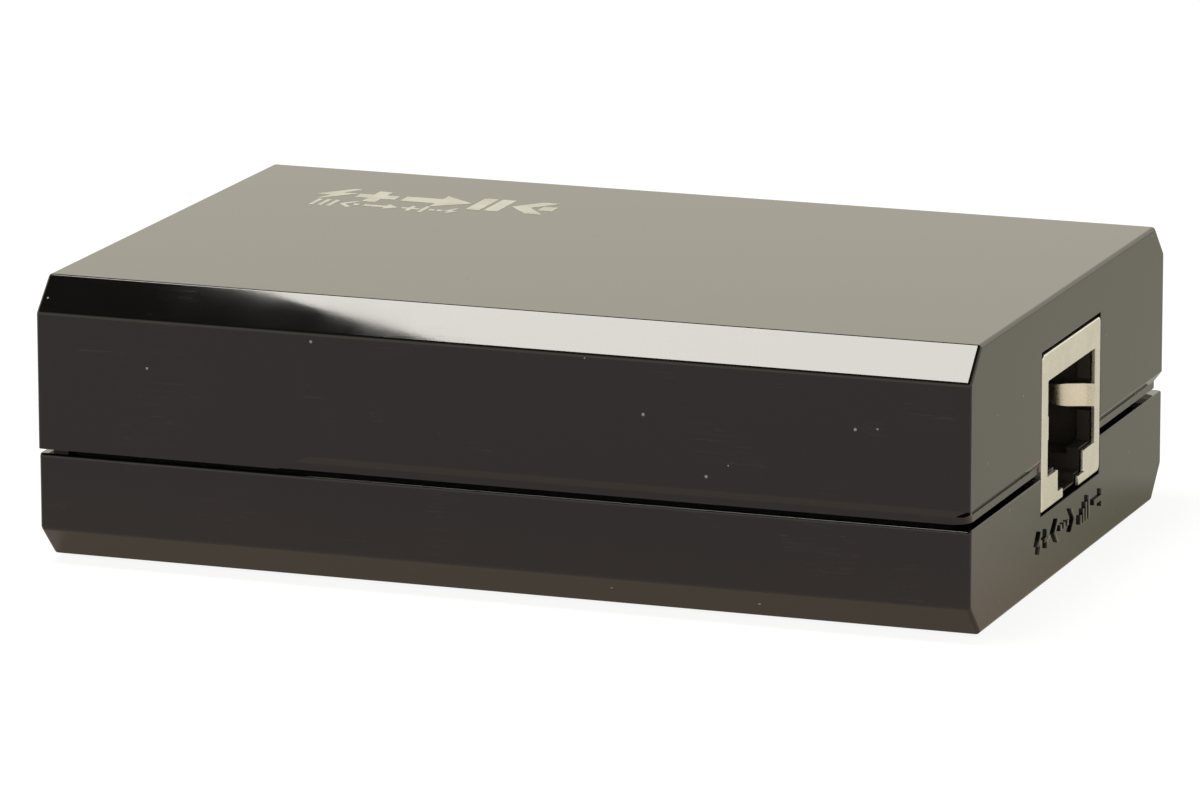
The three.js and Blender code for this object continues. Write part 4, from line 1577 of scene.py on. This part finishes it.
def makeScrews():
    for number, (x, y) in enumerate(screwSpots, 1):
        top = 8.12
        profile = [(0, 2.52), (0.5, 2.52), (0.8, 3.1), (0.8, 6.53), (2.2, 6.53), (2.3, 6.65)]
        profile += [(2.3, 7.15), (2.12, 7.6), (1.7, 7.95), (1.2, 8.1), (0, top)]
        screw = carve(turned("body", profile, (x, y, 0)), crossCutter(x, y, top))
        values = {"Coil Radius": 0.82, "Turns": 5.5, "Height": 3.3, "Wire Radius": 0.17}
        thread = coilOf(values, "plated", x, y, 2.95)
        name = f"board_screw_{number}"
        settle(gather(name, [paint(screw, "plated"), thread]), "housing", [name])


def makeFeet():
    profile = [(0, 0.14), (1.5, 0.14), (1.62, 0.11), (1.72, 0.02), (1.8, 0), (3.55, 0)]
    profile += [(3.8, 0.05), (3.95, 0.2), (4, 0.38), (4, 0.84), (3.99, 0.85), (0, 0.85)]
    for x, y in footSpots:
        name = f"foot_{'front' if y < 0 else 'rear'}_{'right' if x > 0 else 'left'}"
        foot = paint(turned(name, profile, (x, y, 0), steps=64), "rubber")
        settle(foot, "housing", [name])


def makeLabel():
    film = plate("rating_label", rectangle(0, 0, 35.4, 19.4), 0.9, 0.38, 0.53, 0.03, 4)
    parts = [paint(film, "label")]
    low, high = 0.37, 0.385
    first = [(bolt, 0), (plus, 2.3), (arrow, 4.6), (chevron, 8.6), (dot, 10.4), (dot, 11.4)]
    second = [(bar, 0.9 * i) for i in range(9)] + [(arrow, 9.4)]
    third = networkGlyph + [(plus, 8.6)]
    fourth = [(dot, 0.9 * i) for i in range(14)]
    rows = [(1.9, 3.6, first), (1.0, -0.6, second), (1.0, -3.8, third), (1.0, -7.0, fourth)]
    for scale, y, row in rows:
        for glyph, at in row:
            # seen from below, a row runs towards -x
            points = [(14.5 - scale * (at + u), y + scale * v) for u, v in glyph]
            mark = prism("glyph", anticlockwise(points), low, high, "z")
            parts.append(paint(mark, "darkPrint"))
    parts.append(paint(frameStrip(0, 0, 33.8, 17.8, 0.18, low, high), "darkPrint"))
    settle(gather("rating_label", parts), "housing", ["rating_label"])


# centre and radius of each round outline
roundOutlines = [(12.5, 13.5, 5.5), (2, 15, 4.5), (-9, 10, 5.4)]
# centre and size of each outline with corners
packages = {
    "magnetics": (-4.5, -8, 17.6, 14.6),
    "controller": (11.5, -3, 8.4, 10.8),
    "transistor": (11.5, -16.2, 7.2, 10),
    "rectifier": (-19.2, 5, 4.7, 8.2),
    "suppressor": (-19.2, 13.2, 4.7, 6.8),
    "fuse": (-14.5, 20, 7.6, 3.3),
}

makeBoard()
makePrintedLines()
makeScrews()
makeFeet()
makeLabel()
print("board, screws, feet and label ready")

# parts on the board; each stands on its pads just above it

standZ = boardTop + 0.1
spots = {
    "magnetics": (-4.5, -8),
    "bulk": (12.5, 13.5),
    "output": (2, 15),
}


def gullLeg(name, at, side, shape, width, thick, middle, axis):
    # a leg bent out and down, from its start at a spot
    path = [Vector((at + side * p.x, boardTop + 0.03 + p.y)) for p in shape]
    return leaf(name, path, lambda share: width, thick, middle, axis)


def joint(radius, tall):
    # one solder joint under the board, with its apex down
    low = boardSize["low"]
    profile = [(0, low - tall), (radius * 0.36, low - tall * 0.75)]
    profile += [(radius * 0.55, low - tall * 0.35), (radius * 0.96, low - 0.08)]
    profile += [(radius, low + 0.02), (0, low + 0.02)]
    return turned("joint", profile, steps=16)


def jointRow(x, y, count, step, radius, tall):
    shape = shifted(joint(radius, tall), x, y, 0)
    return grow(shape, "row", {"Count": count, "Step": step}, "tin")


def makeMagnetics():
    name = "magnetics_module"
    x, y = spots["magnetics"]
    body = plate(name, rectangle(x, y, 17, 14), 0.5, standZ, standZ + 7.4, 0.35)
    gap = block("gap", x - 9, x + 9, y - 5.6, y + 5.6, standZ - 1, standZ + 0.5)
    profile = [(0, 13.8), (0.8, 13.8), (0.9, 15), (0, 15)]
    carve(body, [gap, turned("dimple", profile, (x - 6.8, y + 5.4, 0), steps=32)])
    parts = [paint(body, "epoxy")]
    for side in (1, -1):
        outline = rectangle(x - 7.15, y + side * 6.2, 0.5, 0.35)
        pin = plate("pin", outline, 0.08, 4.2, standZ + 0.6, 0.08, 2)
        parts.append(grow(pin, "row", {"Count": 12, "Step": (1.3, 0.0, 0.0)}, "plated"))
    settle(gather(name, parts), "housing", [name])


def gullWing(reach, rise, foot, thick=0.2):
    # a leg's path in (out, up) from inside the body to the end of its foot
    points = [(0, rise), (reach * 0.35, rise), (reach * 0.55, rise * 0.75)]
    points += [(reach * 0.65, thick * 1.1), (reach * 0.85, thick / 2), (reach + foot, thick / 2)]
    return smoothPath(points, 3)


def makeController():
    name = "controller_chip"
    x, y = 11.5, -3
    body = plate(name, rectangle(x, y, 4, 10), 0.12, standZ, standZ + 1.7, 0.18, 2)
    profile = [(0, 8.2), (0.35, 8.2), (0.4, 9), (0, 9)]
    carve(body, [turned("dimple", profile, (x - 1.3, y + 4.2, 0), steps=24)])
    parts = [paint(body, "epoxy")]
    for side in (1, -1):
        shape = gullWing(1.1, 0.9, 0.4)
        leg = gullLeg("leg", x + side * 1.85, side, shape, 0.42, 0.2, y - 4.445, "y")
        turnOutwards(leg)
        parts.append(grow(leg, "row", {"Count": 8, "Step": (0.0, 1.27, 0.0)}, "tin"))
    settle(gather(name, parts), "housing", [name])


def makeTransistor():
    name = "power_transistor"
    x, y = 11.5, -15
    body = plate(name, rectangle(x, y - 0.5, 6.1, 5.6), 0.25, standZ, standZ + 2.3, 0.25)
    tab = [(-2.65, -3.2), (2.65, -3.2), (2.65, 0.7), (1.9, 1.3), (-1.9, 1.3), (-2.65, 0.7)]
    points = [(x + u, y + 2.0 + v) for u, v in tab]
    back = plate("tab", points, 0.15, boardTop + 0.03, boardTop + 0.55, 0.06, 2)
    parts = [paint(body, "epoxy"), paint(back, "plated")]
    for at in (-2.28, 2.28):
        shape = gullWing(1.3, 1.0, 0.7, 0.35)
        parts.append(paint(gullLeg("leg", y - 3.2, -1, shape, 0.8, 0.35, x + at, "x"), "tin"))
    settle(gather(name, parts), "housing", [name])


def makeDiode(name, y, deep):
    x = -19.2
    reach = deep / 2
    body = plate(name, rectangle(x, y, 4, deep - 1.0), 0.15, standZ + 0.05, standZ + 2.3, 0.28)
    parts = [paint(body, "epoxy")]
    bends = [(reach - 0.9, 1.25), (reach - 0.35, 1.25), (reach - 0.12, 1.1), (reach - 0.1, 0.5)]
    bends += [(reach - 0.15, 0.16), (reach - 0.4, 0.1), (reach - 1.3, 0.1)]
    for side in (1, -1):
        lead = gullLeg("lead", y, side, smoothPath(bends, 2), 2.1, 0.2, x, "x")
        parts.append(paint(lead, "tin"))
    band = rectangle(x, y + reach - 1.35, 3.3, 0.5)
    parts.append(paint(prism("band", band, standZ + 2.2, standZ + 2.302, "z"), "ink"))
    settle(gather(name, parts), "housing", [name])


def makeFuse():
    x, y = -14.5, 20
    body = plate("body", rectangle(x, y, 5.0, 2.3), 0.2, standZ + 0.12, standZ + 2.28, 0.15)
    parts = [paint(body, "ceramic")]
    for side in (1, -1):
        end = rectangle(x + side * 2.35, y, 1.3, 2.6)
        parts.append(paint(plate("cap", end, 0.3, standZ, standZ + 2.4, 0.28, 4), "plated"))
    settle(gather("input_fuse", parts), "housing", ["input_fuse"])


def makeCapacitor(name, x, y, radius, tall):
    low = standZ
    top = low + tall
    neck = radius - 0.35
    profile = [(0, low + 0.3), (radius - 0.9, low + 0.3), (radius - 0.7, low + 0.02)]
    profile += [(radius - 0.15, low + 0.1), (radius, low + 0.4), (radius, low + 1.4)]
    profile += [(radius - 0.12, low + 1.55), (neck, low + 1.75), (neck, low + 2.05)]
    profile += [(radius - 0.12, low + 2.25), (radius, low + 2.4), (radius, top - 0.5)]
    profile += [(radius - 0.15, top - 0.15), (radius - 0.5, top), (radius - 0.85, top)]
    profile += [(radius - 0.95, top - 0.12), (radius - 0.95, top - 0.4), (0, top - 0.4)]
    sleeve = paint(turned("sleeve", profile, (x, y, 0), steps=72), "sleeve")
    sleeve.data.materials.append(finishes["stripe"])
    for face in sleeve.data.polygons:
        out = Vector((face.center.x - x, face.center.y - y))
        onSide = out.length > radius - 0.6 and low + 1 < face.center.z < top - 0.2
        if onSide and out.angle(Vector((-0.6, -0.8))) < 0.42:
            face.material_index = 1
    profile = [(0, top - 0.5), (radius - 0.9, top - 0.5), (radius - 0.9, top - 0.3)]
    profile += [(radius - 1.1, top - 0.15), (0, top - 0.13)]
    lid = turned("lid", profile, (x, y, 0), steps=64)
    vents = []
    reach = radius * 0.9 - 0.6
    for turn in (0, math.pi / 2):
        vent = block("vent", -reach, reach, -0.09, 0.09, top - 0.24, top + 0.5)
        vents.append(shifted(vent, x, y, 0, turn))
    carve(lid, vents)
    parts = [sleeve, paint(lid, "aluminium")]
    half = radius / 2
    for side in (1, -1):
        profile = [(0, 4.1), (0.3, 4.15), (0.3, low + 0.5), (0, low + 0.5)]
        parts.append(paint(turned("lead", profile, (x + side * half, y, 0), steps=16), "tin"))
    settle(gather(name, parts), "housing", [name])


def makeInductor():
    x, y = -9, 10
    low = standZ
    flange = 1.3
    top = low + 6.5
    profile = [(0, low), (4.8, low), (5, low + 0.2), (5, low + flange - 0.2)]
    profile += [(4.8, low + flange), (2.4, low + flange + 0.05), (2.4, top - flange - 0.05)]
    profile += [(4.8, top - flange), (5, top - flange + 0.2), (5, top - 0.2), (4.8, top)]
    profile += [(1.2, top), (1.0, top - 0.25), (0, top - 0.25)]
    core = paint(turned("inductor_core", profile, (x, y, 0), steps=64), "ferrite")
    settle(core, "housing", ["inductor_core"])
    gauge = 0.26
    bottom = low + flange + 0.1 + gauge
    height = 3.7 - 2 * gauge
    inner = paint(washer("inner", 4.1, 2.5, low + 1.5, low + 5, (x, y, 0)), "enamel")
    turns = height / (2 * gauge + 0.01)
    values = {"Coil Radius": 4.6 - gauge, "Turns": turns, "Height": height, "Wire Radius": gauge}
    layers = [inner, coilOf(values, "enamel", x, y, bottom)]
    settle(gather("inductor_winding", layers), "housing", ["inductor_winding"])


def chip(x, y, long, wide, tall, finish):
    # a small part with a metal cap at each end
    low = boardTop + 0.04
    middle = rectangle(x, y, long * 0.6, wide * 0.94)
    parts = [paint(plate("chip", middle, 0.04, low + 0.03, low + tall * 0.96, 0.03, 2), finish)]
    for side in (1, -1):
        end = rectangle(x + side * long * 0.39, y, long * 0.22, wide)
        parts.append(paint(plate("cap", end, 0.08, low, low + tall, 0.06, 2), "tin"))
    return parts


def makeSmallParts():
    parts = []
    places = [(5.8, -20.5), (2.2, -20.5), (-1.6, -20.5), (-5.4, -20.5), (-9.2, -20.5)]
    places += [(-16.2, -19.6), (12, 4.8), (6.4, 5.6), (2.6, 5.6), (-15.6, 1.6), (-15.4, -20.6)]
    places += [(7.5, 20.5), (3.9, 21.2)]
    for index, (x, y) in enumerate(places):
        tall, finish = (0.55, "epoxy") if index % 2 == 0 else (1.1, "tan")
        parts += chip(x, y, 2.0, 1.25, tall, finish)
    settle(gather("small_parts", parts), "housing")


def makeSolder():
    joints = []
    for spot in portPlaces.values():
        facing = math.copysign(1, spot["x"])
        back = spot["x"] - facing * 17.2
        pitch = port["pitch"]
        first = spot["y"] - 3.5 * pitch
        joints.append(jointRow(back, first, 8, (0.0, pitch, 0.0), 0.4, 0.72))
        for x in (-5.5, -16.5):
            for side in (1, -1):
                at = spot["y"] + side * (port["width"] / 2 - 0.15)
                joints.append(jointRow(spot["x"] + facing * x, at, 1, (1.0, 0.0, 0.0), 0.95, 0.5))
    x, y = spots["magnetics"]
    for side in (1, -1):
        joints.append(jointRow(x - 7.15, y + side * 6.2, 12, (1.3, 0.0, 0.0), 0.48, 0.6))
    for key, radius in (("bulk", 5.0), ("output", 4.0)):
        x, y = spots[key]
        joints.append(jointRow(x - radius / 2, y, 2, (radius, 0.0, 0.0), 0.75, 0.75))
    for (x, y, wide), radius in zip(socket["terminals"], (1.4, 1.4, 0.7)):
        at = (socketPlace["x"] - x, socketPlace["y"] - y)
        joints.append(jointRow(*at, 1, (1.0, 0.0, 0.0), radius, 0.55))
    settle(gather("solder_joints", joints), "housing")


makeMagnetics()
makeController()
makeTransistor()
makeDiode("rectifier_diode", 5, 6.8)
makeDiode("surge_suppressor", 13.2, 5.4)
makeFuse()
makeCapacitor("bulk_capacitor", *spots["bulk"], 5, 12.5)
makeCapacitor("output_capacitor", *spots["output"], 4, 11.2)
makeInductor()
makeSmallParts()
makeSolder()
print("board parts ready")
